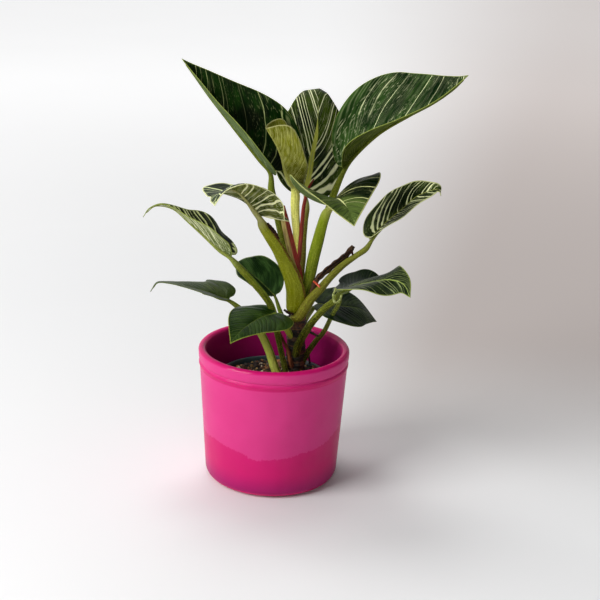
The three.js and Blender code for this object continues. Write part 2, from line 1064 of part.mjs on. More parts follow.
function nurseryPot() {
  const n = NURSERY;
  const inside = n.bottom + n.floorThickness;
  const body = turned(
    [
      [0, n.bottom],
      [n.lowRadius - 1, n.bottom],
      [n.lowRadius, n.bottom + 1.2],
      [n.highRadius, n.rimBottom],
      [n.rimRadius - 0.3, n.rimBottom + 0.5],
      [n.rimRadius, n.rimTop - 1],
      [n.rimRadius - 0.6, n.rimTop],
      [n.rimRadius - 2.6, n.rimTop],
      [n.rimRadius - 3.2, n.rimTop - 0.9],
      [n.highRadius - n.wall, n.rimBottom - 1],
      [n.lowRadius - n.wall, inside + 0.9],
      [n.lowRadius - n.wall - 0.9, inside],
      [0, inside],
    ],
    NURSERY_SEGMENTS,
  );
  const drill = solidFrom(
    new THREE.CylinderGeometry(n.holeRadius, n.holeRadius, 6, 12).rotateX(Math.PI / 2),
  );
  let drained = body;
  for (let k = 0; k < n.holes; k += 1) {
    const angle = (2 * Math.PI * (k + 0.5)) / n.holes;
    drained = drained.subtract(
      drill.translate([
        n.holeCircle * Math.cos(angle),
        n.holeCircle * Math.sin(angle),
        n.bottom + 1,
      ]),
    );
  }
  return drained;
}

// Height of the soil: a low mound round the stem with small lumps.
function soilHeight(x, y) {
  const [stemX, stemY] = STEM.route[2];
  const away = Math.hypot(x - stemX, y - stemY);
  const lumps =
    Math.sin(x * 0.47 + 1.3) * Math.cos(y * 0.53) +
    0.6 * Math.sin(x * 0.9 - y * 0.7 + 0.4);
  const mound = SOIL.mound * Math.exp(-((away / SOIL.moundWidth) ** 2));
  return SOIL.edgeHeight + mound + SOIL.lump * lumps;
}

function soilFill() {
  const n = NURSERY;
  const floor = n.bottom + n.floorThickness + CLEARANCE;
  const edge = n.highRadius - n.wall - CLEARANCE;
  const ringAt = (radius, height) =>
    Array.from({ length: SOIL.segments }, (_, k) => {
      const angle = (2 * Math.PI * k) / SOIL.segments;
      const [x, y] = [radius * Math.cos(angle), radius * Math.sin(angle)];
      return [x, y, height ?? soilHeight(x, y)];
    });
  const rings = [
    ringAt(n.lowRadius - n.wall - 1.5, floor),
    ringAt(n.lowRadius - n.wall - CLEARANCE - 0.2, floor + 1),
    ringAt(edge - 0.2, n.rimBottom - 1.2),
  ];
  for (let k = 0; k < SOIL.rings; k += 1) {
    rings.push(ringAt(edge * (1 - k / SOIL.rings) - 0.2));
  }
  let soil = skin(rings, [0, 0, floor], [0, 0, soilHeight(0, 0)]);

  const random = randomFrom(SOIL.seed);
  const [small, large] = SOIL.crumbRadius;
  const crumbs = [];
  for (let k = 0; k < SOIL.crumbs; k += 1) {
    const angle = 2 * Math.PI * random();
    const radius = SOIL.crumbReach * Math.sqrt(random());
    const size = mix(small, large, random() ** 2);
    const [x, y] = [radius * Math.cos(angle), radius * Math.sin(angle)];
    const crumb = new THREE.IcosahedronGeometry(size, 0)
      .scale(1.3, 0.9, 0.8)
      .rotateX(2 * Math.PI * random())
      .rotateZ(2 * Math.PI * random())
      .translate(x, y, soilHeight(x, y) - 0.15 * size);
    crumbs.push(solidFrom(crumb));
  }
  return soil.add(wasm.Manifold.union(crumbs));
}

function stemSolid(grow) {
  const centres = curve(STEM.route, STEM.rings);
  const half = centres.map((centre, n) => {
    const width = along(STEM.width, n / (STEM.rings - 1)) / 2;
    const phase = (centre[2] / STEM.scarSpacing) % 1;
    return width + STEM.scarHeight * (phase < 0.35 ? 1 : 0);
  });
  return stalk(centres, half, half, STEM.sides, grow);
}

function airRoot(root, grow) {
  const rings = root.route.length * 2 - 1;
  return stalkAlong(root.route, root.width, 1, grow, rings, 6);
}

// ---------------------------------------------------------------------------
// Assembly
// ---------------------------------------------------------------------------

const part = new THREE.Group();
part.name = "philodendron_birkin";

function place(name, solid, shade, roughness) {
  const mesh = solid.getMesh();
  const geometry = new THREE.BufferGeometry();
  geometry.setAttribute(
    "position",
    new THREE.BufferAttribute(new Float32Array(mesh.vertProperties), 3),
  );
  geometry.setIndex(new THREE.BufferAttribute(new Uint32Array(mesh.triVerts), 1));
  const material = new THREE.MeshStandardMaterial({
    color: shade,
    roughness,
    metalness: 0,
  });
  const made = new THREE.Mesh(mergeVertices(geometry, 1e-3), material);
  made.name = name;
  part.add(made);
}

const stem = AIR_ROOTS.reduce(
  (solid, root) => solid.add(airRoot(root, 0)),
  stemSolid(0),
);
const aroundStem = AIR_ROOTS.reduce(
  (solid, root) => solid.add(airRoot(root, CLEARANCE)),
  stemSolid(CLEARANCE),
);

// Petioles crowd at the crown. The ones in front are whole, and each one behind is cut to
// lie against those before it.
const FRONT_TO_BACK = [
  "leaf_front_left",
  "leaf_right_mid",
  "leaf_right_low",
  "leaf_left_mid",
  "leaf_left_low",
  "leaf_right_back",
  "leaf_low_front",
  "leaf_front_right",
  "leaf_young_folded",
  "sheath_right",
  "sheath_left",
  "leaf_back_striped",
  "leaf_left_tall",
  "leaf_right_tall",
  "leaf_back_left",
  "leaf_low_right",
  "sheath_dry_upper",
  "sheath_dry_lower",
];

const grown = [aroundStem];
const leafByName = new Map(LEAVES.map((leaf) => [leaf.name, leaf]));
const sheathByName = new Map(SHEATHS.map((sheath) => [sheath.name, sheath]));
for (const [order, name] of FRONT_TO_BACK.entries()) {
  const taken = wasm.Manifold.union(grown);
  const leaf = leafByName.get(name);
  const sheath = sheathByName.get(name);
  if (leaf) {
    leaf.phase = (order * 0.37) % 1;
    const midrib = midribOf(leaf);
    const whole = petioleOf(leaf, midrib, 0).add(bladeOf(leaf, midrib));
    place(name, largest(whole.subtract(taken)), leaf.shade, 0.45);
    grown.push(petioleOf(leaf, midrib, CLEARANCE, false));
  } else {
    const { route, width, flat, shade } = sheath;
    const rings = route.length * 2 - 1;
    const solid = stalkAlong(route, width, flat, 0, rings);
    place(name, largest(solid.subtract(taken)), shade, 0.6);
    grown.push(stalkAlong(route, width, flat, CLEARANCE, rings));
  }
}

place("pot", coverPot(), SHADE.pot, 0.25);
place("nursery_pot", nurseryPot(), SHADE.nursery, 0.5);
place("soil", largest(soilFill().subtract(wasm.Manifold.union(grown))), SHADE.soil, 0.95);
place("stem", stem, SHADE.stem, 0.8);

export default part;
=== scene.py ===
"""Dresses a philodendron birkin that stands in its nursery pot and a glazed cover pot.

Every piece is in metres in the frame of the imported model: +Z up, with the origin at the centre
of the cover pot's base. Sizes in the tables below are in millimetres, and colours are 0 to 255 a
channel.
"""

from __future__ import annotations

import logging
import math
from dataclasses import dataclass, field, replace
from enum import Enum
from functools import cache

import bpy
import numpy as np
from bpy.types import Material, Node, NodeSocket, NodeTree, Object
from mathutils import Matrix, Vector

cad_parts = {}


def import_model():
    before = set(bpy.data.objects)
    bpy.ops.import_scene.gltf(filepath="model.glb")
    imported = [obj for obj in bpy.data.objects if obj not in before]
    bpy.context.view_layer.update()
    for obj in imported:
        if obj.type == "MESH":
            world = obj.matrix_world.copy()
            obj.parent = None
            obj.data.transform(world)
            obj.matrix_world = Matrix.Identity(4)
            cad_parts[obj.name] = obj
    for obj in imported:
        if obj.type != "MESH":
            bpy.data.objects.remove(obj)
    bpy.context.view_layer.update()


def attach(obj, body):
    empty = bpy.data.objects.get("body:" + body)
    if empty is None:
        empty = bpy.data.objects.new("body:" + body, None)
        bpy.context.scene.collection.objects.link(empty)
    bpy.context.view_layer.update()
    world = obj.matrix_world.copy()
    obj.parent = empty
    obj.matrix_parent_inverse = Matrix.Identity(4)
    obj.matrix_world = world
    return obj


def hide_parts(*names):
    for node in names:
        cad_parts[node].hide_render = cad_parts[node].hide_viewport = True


LOG = logging.getLogger("birkin")
MM = 0.001
TURN = 2 * math.pi
BODY = "root"

Point = tuple[float, float, float]
Route = tuple[Point, ...]
Pair = tuple[float, float]
Tint = tuple[int, int, int]


# --- Curves and vectors ---


def curve(points: object, count: int) -> np.ndarray:
    """Samples the Catmull-Rom curve through some points.

    Args:
        points: Control points, one per row.
        count: How many samples to take, ends included.

    Returns:
        The samples, one per row.
    """
    given = np.asarray(points, float)
    if given.ndim == 1:
        given = given[:, None]
    padded = np.vstack([2 * given[0] - given[1], given, 2 * given[-1] - given[-2]])
    place = np.linspace(0, len(given) - 1, count)
    index = np.minimum(place.astype(int), len(given) - 2)
    t = (place - index)[:, None]
    a, b, c, d = (padded[index + k] for k in range(4))
    cubic = (3 * b - a - 3 * c + d) * t**3
    return 0.5 * (2 * b + (c - a) * t + (2 * a - 5 * b + 4 * c - d) * t * t + cubic)


def distances(points: object) -> np.ndarray:
    """Gives the distance along a polyline at each of its points."""
    steps = np.linalg.norm(np.diff(np.asarray(points, float), axis=0), axis=1)
    return np.concatenate([[0.0], np.cumsum(steps)])


def circle(count: int) -> np.ndarray:
    """Gives evenly spaced angles round a circle."""
    return np.linspace(0, TURN, count, endpoint=False)


def unit(vectors: np.ndarray) -> np.ndarray:
    """Scales vectors, one per row, to length 1."""
    return vectors / np.maximum(np.linalg.norm(vectors, axis=-1, keepdims=True), 1e-12)


def smooth(x: np.ndarray | float) -> np.ndarray:
    """Eases a value from 0 to 1."""
    x = np.clip(x, 0, 1)
    return x * x * (3 - 2 * x)


def mix(a: np.ndarray | float, b: np.ndarray | float, k: np.ndarray | float) -> np.ndarray:
    """Blends from a to b as k goes from 0 to 1."""
    return a + (b - a) * k


# --- Meshes ---


@dataclass
class Shell:
    """Points in millimetres, faces and point attributes of one closed surface."""

    points: np.ndarray
    faces: list[tuple[int, ...]]
    marks: dict[str, np.ndarray] = field(default_factory=dict)

    def joined(self, other: Shell) -> Shell:
        """Joins this shell and another that has the same marks.

        Args:
            other: The other shell.

        Returns:
            Both as one shell.
        """
        shift = len(self.points)
        faces = self.faces + [tuple(k + shift for k in face) for face in other.faces]
        marks = {name: np.vstack([mark, other.marks[name]]) for name, mark in self.marks.items()}
        return Shell(np.vstack([self.points, other.points]), faces, marks)

    def piece(self, name: str, material: Material | None = None) -> Object:
        """Makes a smooth shaded object.

        Args:
            name: The object's name.
            material: Its material.

        Returns:
            The object, linked to the scene, at the origin.
        """
        mesh = bpy.data.meshes.new(name)
        mesh.from_pydata((self.points * MM).tolist(), [], self.faces)
        for mark, values in self.marks.items():
            layer = mesh.attributes.new(mark, "FLOAT_VECTOR", "POINT")
            layer.data.foreach_set("vector", np.ascontiguousarray(values, float).ravel())
        mesh.validate()
        mesh.shade_smooth()
        if material:
            mesh.materials.append(material)
        return linked(name, mesh)


def linked(name: str, data: bpy.types.ID) -> Object:
    """Makes an object of some data and links it to the scene.

    Args:
        name: The object's name.
        data: Its mesh, light or camera.

    Returns:
        The object.
    """
    made = bpy.data.objects.new(name, data)
    bpy.context.scene.collection.objects.link(made)
    return made


def plain(piece: Object) -> None:
    """Replaces an object's mesh by its evaluated one and drops its modifiers.

    Args:
        piece: The object.
    """
    graph = bpy.context.evaluated_depsgraph_get()
    graph.update()
    mesh = bpy.data.meshes.new_from_object(piece.evaluated_get(graph), depsgraph=graph)
    piece.modifiers.clear()
    piece.data = mesh


def loft(rings: np.ndarray, start: np.ndarray, end: np.ndarray) -> Shell:
    """Joins closed rings in order and closes each end on a point.

    Args:
        rings: Points by ring, by side and by axis.
        start: The point before the first ring.
        end: The point after the last ring.

    Returns:
        The closed shell: the start point, the rings and the end point.
    """
    count, sides, _ = rings.shape
    points = np.vstack([start[None], rings.reshape(-1, 3), end[None]])
    faces: list[tuple[int, ...]] = []
    base = 1 + (count - 1) * sides
    for side in range(sides):
        after = (side + 1) % sides
        faces += [(0, 1 + after, 1 + side), (len(points) - 1, base + side, base + after)]
        for near in range(1, base, sides):
            far = near + sides
            faces.append((near + side, near + after, far + after, far + side))
    return Shell(points, faces)


def turned(profile: np.ndarray, segments: int) -> Shell:
    """Turns a profile that starts and ends on the axis about Z.

    Args:
        profile: Radius and height, one pair per row.
        segments: Faces round the axis.

    Returns:
        The closed shell.
    """
    angle, radius = circle(segments), profile[1:-1, :1]
    height = np.repeat(profile[1:-1, 1:], segments, axis=1)
    rings = np.stack([radius * np.cos(angle), radius * np.sin(angle), height], axis=-1)
    low, high = profile[0][1], profile[-1][1]
    return loft(rings, np.array([0.0, 0.0, low]), np.array([0.0, 0.0, high]))


def softened(profile: list[Pair], rounds: int) -> np.ndarray:
    """Cuts the corners of a profile a few times and keeps its ends.

    Args:
        profile: Radius and height pairs.
        rounds: How often to cut each corner.

    Returns:
        The rounded profile, one pair per row.
    """
    points = np.asarray(profile, float)
    for _ in range(rounds):
        early = 0.75 * points[:-1] + 0.25 * points[1:]
        late = 0.25 * points[:-1] + 0.75 * points[1:]
        inner = np.stack([early, late], 1).reshape(-1, 2)
        points = np.vstack([points[:1], inner, points[-1:]])
    return points


@dataclass(frozen=True)
class Travel:
    """A path with the directions across it and away from it, and the share of its length."""

    centre: np.ndarray
    across: np.ndarray
    away: np.ndarray
    share: np.ndarray

    @classmethod
    def along(cls, route: object, count: int) -> Travel:
        """Carries a direction along the curve through a route without turning it about the curve.

        Args:
            route: Control points, one per row.
            count: How many steps to take.

        Returns:
            The path. At its start, across is as near to +X as it can be.
        """
        points = curve(route, count)
        heading = unit(np.vstack([points[1:], points[-1:]]) - np.vstack([points[:1], points[:-1]]))
        across = np.zeros_like(points)
        now = np.array([1.0, 0.0, 0.0])
        for n, direction in enumerate(heading):
            now = now - direction * float(now @ direction)
            now = now / np.linalg.norm(now)
            across[n] = now
        run = distances(points)
        return cls(points, across, np.cross(heading, across), run / run[-1])

    def ringed(self, sideways: np.ndarray, upwards: np.ndarray) -> np.ndarray:
        """Gives rings of points by their offsets across the path and away from it."""
        over = self.across[:, None] * sideways[..., None]
        return self.centre[:, None] + over + self.away[:, None] * upwards[..., None]


def stalk(path: Travel, wide: np.ndarray, deep: np.ndarray, sides: int = 20) -> Shell:
    """Sweeps an ellipse along a path.

    Args:
        path: The path.
        wide: Half the width at each point.
        deep: Half the depth at each point.
        sides: Faces round the stalk.

    Returns:
        The closed shell, with the mark "run": the share of the length, the turn round the
        stalk from 0 to 1, and the length in millimetres.
    """
    angle, centre = circle(sides), path.centre
    rings = path.ringed(wide[:, None] * np.cos(angle), deep[:, None] * np.sin(angle))
    start = centre[0] + 0.45 * deep[0] * unit(centre[0] - centre[1])
    end = centre[-1] + 0.45 * deep[-1] * unit(centre[-1] - centre[-2])
    shell = loft(rings, start, end)
    share = np.concatenate([[0.0], np.repeat(path.share, sides), [1.0]])
    around = np.concatenate([[0.0], np.tile(angle / TURN, len(wide)), [0.0]])
    shell.marks["run"] = np.stack([share, around, share * distances(centre)[-1]], 1)
    return shell


# --- Nodes ---


class Wire:
    """A node's output, which can be reckoned with like a number."""

    def __init__(self, bench: Bench, socket: NodeSocket) -> None:
        """Starts from a socket and the bench of its tree."""
        self.bench, self.socket = bench, socket

    def __add__(self, other: Value) -> Wire:
        """Adds a value."""
        return self.bench.math("ADD", self, other)

    def __sub__(self, other: Value) -> Wire:
        """Takes a value away."""
        return self.bench.math("SUBTRACT", self, other)

    def __rsub__(self, other: Value) -> Wire:
        """Is taken away from a value."""
        return self.bench.math("SUBTRACT", other, self)

    def __mul__(self, other: Value) -> Wire:
        """Multiplies by a value."""
        return self.bench.math("MULTIPLY", self, other)

    def __truediv__(self, other: Value) -> Wire:
        """Divides by a value."""
        return self.bench.math("DIVIDE", self, other)

    def __gt__(self, other: Value) -> Wire:
        """Gives 1 above a value and 0 below it."""
        return self.bench.math("GREATER_THAN", self, other)

    def __abs__(self) -> Wire:
        """Drops the sign."""
        return self.bench.math("ABSOLUTE", self)

    def rise(self, low: Value, high: Value, start: Value = 0.0, end: Value = 1.0) -> Wire:
        """Eases from start to end as the value goes from low to high."""
        values = (self, low, high, start, end)
        return self.bench.get("ShaderNodeMapRange", *values, interpolation_type="SMOOTHSTEP")

    def parts(self) -> list[Wire]:
        """Splits a vector into its three values."""
        return self.bench.outputs("ShaderNodeSeparateXYZ", self)


Value = Wire | float | int | str | tuple[float, ...] | Material
Into = dict[str | int, Value]


class Bench:
    """Lays out and joins the nodes of one tree."""

    def __init__(self, tree: NodeTree) -> None:
        """Starts on a tree."""
        self.tree = tree

    def add(self, kind: str, *values: Value, into: Into | None = None, **settings: object) -> Node:
        """Adds a node.

        Args:
            kind: Its type name.
            *values: What its first inputs get, in order.
            into: What other inputs get, by name or place.
            **settings: Its properties by name.

        Returns:
            The node.
        """
        node = self.tree.nodes.new(kind)
        for name, value in settings.items():
            setattr(node, name, value)
        for key, value in (dict(enumerate(values)) | (into or {})).items():
            self.feed(node.inputs[key], value)
        return node

    def outputs(self, kind: str, *values: Value, **details: object) -> list[Wire]:
        """Adds a node as `add` does and gives all its outputs."""
        return [Wire(self, socket) for socket in self.add(kind, *values, **details).outputs]

    def get(self, kind: str, *values: Value, out: int | str = 0, **details: object) -> Wire:
        """Adds a node as `add` does and gives one of its outputs."""
        return Wire(self, self.add(kind, *values, **details).outputs[out])

    def feed(self, socket: NodeSocket, value: Value) -> None:
        """Links a wire into an input, or sets the input's own value.

        Args:
            socket: The input.
            value: The wire, number, vector, tint, name or material.
        """
        if isinstance(value, Wire):
            self.tree.links.new(value.socket, socket)
            return
        if socket.type == "RGBA":
            share = np.array(value) / 255
            linear = np.where(share <= 0.04045, share / 12.92, ((share + 0.055) / 1.055) ** 2.4)
            value = (*linear.tolist(), 1.0)
        socket.default_value = value

    def math(self, operation: str, *values: Value) -> Wire:
        """Adds a Math node."""
        return self.get("ShaderNodeMath", *values, operation=operation)

    def away(self, x: Wire, y: Wire) -> Wire:
        """Gives the distance from the axis."""
        return self.math("SQRT", x * x + y * y)

    def blend(self, share: Value, first: Value, second: Value, kind: str = "MIX") -> Wire:
        """Mixes two colours, with a share of 0 to 1 of the second."""
        into = {0: share, 6: first, 7: second}
        return self.get("ShaderNodeMix", into=into, out=2, data_type="RGBA", blend_type=kind)

    def layers(self, colour: Value, *layers: tuple[Value, Value]) -> Wire:
        """Lays other colours over a colour.

        Args:
            colour: The lowest colour.
            *layers: The share and the colour of each layer, from the lowest up.

        Returns:
            The mixed colour.
        """
        for share, tint in layers:
            colour = self.blend(share, colour, tint)
        return colour

    def noise(self, at: Wire, scale: float, detail: float = 2.0, rough: float = 0.5) -> Wire:
        """Adds a noise texture with values of about 0.3 to 0.7."""
        into = {"Vector": at, "Scale": scale, "Detail": detail, "Roughness": rough}
        return self.get("ShaderNodeTexNoise", into=into)

    def pack(self, x: Value, y: Value, z: Value = 0.0) -> Wire:
        """Makes a vector of three values."""
        return self.get("ShaderNodeCombineXYZ", x, y, z)

    def chances(self, value: Value) -> list[Wire]:
        """Draws four repeatable random values, 0 to 1, for a number."""
        one, hue = self.outputs("ShaderNodeTexWhiteNoise", into={"W": value}, noise_dimensions="1D")
        return [one, *self.outputs("ShaderNodeSeparateColor", hue)]

    def mark(self, name: str) -> Wire:
        """Reads a vector attribute of the piece."""
        return self.get("ShaderNodeAttribute", out="Vector", attribute_name=name)

    def place(self) -> Wire:
        """Reads the object's own coordinates, in metres."""
        return self.get("ShaderNodeTexCoord", out="Object")

    def use(self, group: NodeTree, **inputs: Value) -> dict[str, Wire]:
        """Places a node group, feeds its inputs by name and gives its outputs by name."""
        node = self.add("ShaderNodeGroup", into=inputs, node_tree=group)
        return {socket.name: Wire(self, socket) for socket in node.outputs}


class GroupBench(Bench):
    """A bench on a new node group."""

    def __init__(self, name: str, inputs: dict[str, str], outputs: dict[str, str]) -> None:
        """Starts a group, of shader nodes unless it takes a geometry.

        Args:
            name: The group's name.
            inputs: The kind of each input, such as "Float", by name.
            outputs: The kind of each output, likewise.
        """
        family = "GeometryNodeTree" if "Geometry" in inputs else "ShaderNodeTree"
        super().__init__(bpy.data.node_groups.new(name, family))
        self.keys: dict[str, str] = {}
        for direction, sockets in (("INPUT", inputs), ("OUTPUT", outputs)):
            for socket, kind in sockets.items():
                made = self.tree.interface.new_socket(
                    socket, in_out=direction, socket_type=f"NodeSocket{kind}"
                )
                self.keys.setdefault(socket, made.identifier)
        entry = self.add("NodeGroupInput")
        self.given = {socket.name: Wire(self, socket) for socket in entry.outputs}

    def end(self, **wires: Wire) -> NodeTree:
        """Feeds the group's outputs by name and gives the group."""
        self.add("NodeGroupOutput", into=wires)
        return self.tree


class FinishBench(Bench):
    """A bench on a new material."""

    def __init__(self, name: str) -> None:
        """Starts a material.

        Args:
            name: The material's name.
        """
        self.material = bpy.data.materials.new(name)
        self.material.use_nodes = True
        super().__init__(self.material.node_tree)

    def end(
        self,
        colour: Wire,
        rough: Value,
        height: Wire | None = None,
        depth: float = 0,
        **more: Value,
    ) -> Material:
        """Feeds the shader.

        Args:
            colour: Its colour.
            rough: Its roughness.
            height: The height of its relief.
            depth: How deep the relief is, in metres.
            **more: Values of its other sockets by name, with _ for a space.

        Returns:
            The material.
        """
        into = {name.replace("_", " "): value for name, value in more.items()}
        into |= {"Base Color": colour, "Roughness": rough}
        if height:
            relief = {"Distance": depth, "Height": height}
            into["Normal"] = self.get("ShaderNodeBump", into=relief)
        shader = self.tree.nodes["Principled BSDF"]
        for name, value in into.items():
            self.feed(shader.inputs[name], value)
        return self.material


# --- Leaf finishes ---


LEVELS = (
    "seed", "veins", "stripes", "stripe_width", "feather", "speckle", "margin_width", "rib_width",
    "paling", "thinning", "rib_reach",
)  # fmt: skip
MASKS = ("tone", "stripe", "veinlet", "midrib", "margin")
TINTS = ("ground", "ground_light", "stripe_tint", "rib_tint", "margin_tint")


@cache
def markings_group() -> NodeTree:
    """Builds the masks of a leaf's stripes, veins, speckles, midrib and margin.

    Returns:
        The group. Its inputs growth and rim are the blade's two marks.
    """
    inputs = {"growth": "Vector", "rim": "Vector"} | dict.fromkeys(LEVELS, "Float")
    outputs = dict.fromkeys((*MASKS, "speck", "height"), "Float")
    bench = GroupBench("leaf markings", inputs, outputs)
    give = bench.given
    vein, across, share = give["growth"].parts()
    edge, _, out = give["rim"].parts()
    reach = abs(across)
    offset = (across > 0.0) * 37.0 + give["seed"]

    def cloud(x: Wire, y: Wire, detail: float = 2.0) -> Wire:
        """Draws a noise over the blade, another one on each half."""
        return bench.noise(bench.pack(x, y, offset), 1.0, detail)

    course = vein * give["veins"] + cloud(vein * 9.0, across * 2.4) * 0.9

    def lines(turns: float, shift: float, chance: Wire, wide: Wire, ease: float) -> list[Wire]:
        """Draws lines along the side veins, each with its own strength and width.

        Args:
            turns: How many lines there are for each vein.
            shift: What to add to the seed.
            chance: How many of the lines are drawn.
            wide: How wide they are.
            ease: How softly the chance sets in.

        Returns:
            The mask of the lines and the distance from the nearest one.
        """
        place = course * turns
        number = bench.math("MULTIPLY_ADD", bench.math("FLOOR", place), 1.37, offset + shift)
        draws = bench.chances(number)
        away = abs(bench.math("FRACT", place) + (draws[3] * 0.36 - 0.68))
        floor = 1.0 - chance
        width = wide * (draws[2] * 1.1 + 0.45)
        body = away.rise(width * 0.45, width, 1.0, 0.0)
        return [draws[0].rise(floor - ease, floor + ease) * body, away]

    ragged = cloud(course * 1.6, across * 7.0, 3.0)
    narrowing = reach * -0.5 + 1.1
    thinned = give["thinning"] * vein.rise(0.1, 0.5)
    kept = 1.0 - thinned
    wide = give["stripe_width"] * narrowing * (ragged * 1.1 + 0.42) * (thinned * -0.35 + 1.0)
    main, away = lines(1.0, 0.0, give["stripes"] * kept, wide, 0.08)
    stripe = main * (1.0 - reach.rise(0.45, 0.95) * ragged.rise(0.56, 0.64))
    patch = cloud(course * 0.35, across * 2.2).rise(0.42, 0.6)
    feather, _ = lines(3.1, 5.0, give["feather"] * kept, narrowing * (ragged * 0.6 + 0.02), 0.2)
    feather = feather * patch * ragged.rise(0.44, 0.54)
    veinlet = bench.math("COSINE", course * (5 * TURN)).rise(-0.2, 1.0)
    dots = cloud(course * 7.0, out * 0.5, 1.0).rise(0.6, 0.68)
    ending = share.rise(give["rib_reach"] - 0.2, give["rib_reach"], 1.0, 0.0)
    ribbon = give["rib_width"] * (share * -0.8 + 1.0) * ending
    rough_edge = give["margin_width"] * (ragged * 0.8 + 0.6)
    streak = cloud(course * 2.4, across * 3.0)
    tone = cloud(share * 5.0, across * 1.6, 3.0).rise(0.35, 0.68)
    # Painted sheen: with paling set, the blade is painted paler on its right half and towards its
    # tip, in place of the random tone, standing in for reflected light.
    tone = tone * streak.rise(0.32, 0.6, 0.25, 1.15) * (1.0 - give["paling"])
    pale = give["paling"] * (across * 0.4 + vein).rise(0.3, 0.5) * streak.rise(0.34, 0.56, 0.35)
    return bench.end(
        tone=bench.math("MAXIMUM", tone, pale),
        stripe=bench.math("MAXIMUM", stripe, feather * 0.75),
        veinlet=veinlet * ragged.rise(0.35, 0.6),
        speck=dots * patch * give["speckle"],
        midrib=abs(out).rise(ribbon * 0.3, ribbon * 0.62, 1.0, 0.0),
        margin=edge.rise(rough_edge * 0.4, rough_edge, 1.0, 0.0),
        height=away.rise(0.0, 0.28) * 0.7 + veinlet * -0.22 + stripe * -0.2,
    )


@cache
def tinting_group() -> NodeTree:
    """Builds the group that lays a leaf's markings over its ground tint, for one side.

    Returns:
        The group.
    """
    inputs = dict.fromkeys(TINTS, "Color")
    inputs |= dict.fromkeys((*MASKS, "speck", "veinlet_share"), "Float")
    bench = GroupBench("leaf tinting", inputs, {"colour": "Color"})
    give = bench.given
    colour = bench.layers(
        give["ground"],
        (give["tone"], give["ground_light"]),
        (give["veinlet"] * give["veinlet_share"], give["stripe_tint"]),
        (give["speck"] * 0.8, give["stripe_tint"]),
        (give["stripe"] * 0.92, give["stripe_tint"]),
        (give["midrib"], give["rib_tint"]),
        (give["margin"], give["margin_tint"]),
    )
    return bench.end(colour=colour)


@cache
def grain_group() -> NodeTree:
    """Builds a fine fibrous grain along a stalk, for petioles, sheaths and the stem.

    Returns:
        The group.
    """
    inputs = {"run": "Vector", "seed": "Float", "fibres": "Float"}
    bench = GroupBench("stalk grain", inputs, dict.fromkeys(("fibre", "mottle", "height"), "Float"))
    give = bench.given
    _, around, length = give["run"].parts()
    x, y = (bench.math(name, around * TURN) for name in ("COSINE", "SINE"))
    fibre, mottle = (
        bench.noise(bench.pack(x * wide, y * wide, length * long + give["seed"]), 1.0, 3.0, rough)
        for wide, long, rough in ((give["fibres"], 0.05, 0.6), (0.8, 0.11, 0.5))
    )
    height = fibre + mottle * 0.4
    return bench.end(fibre=fibre.rise(0.36, 0.64), mottle=mottle.rise(0.36, 0.64), height=height)


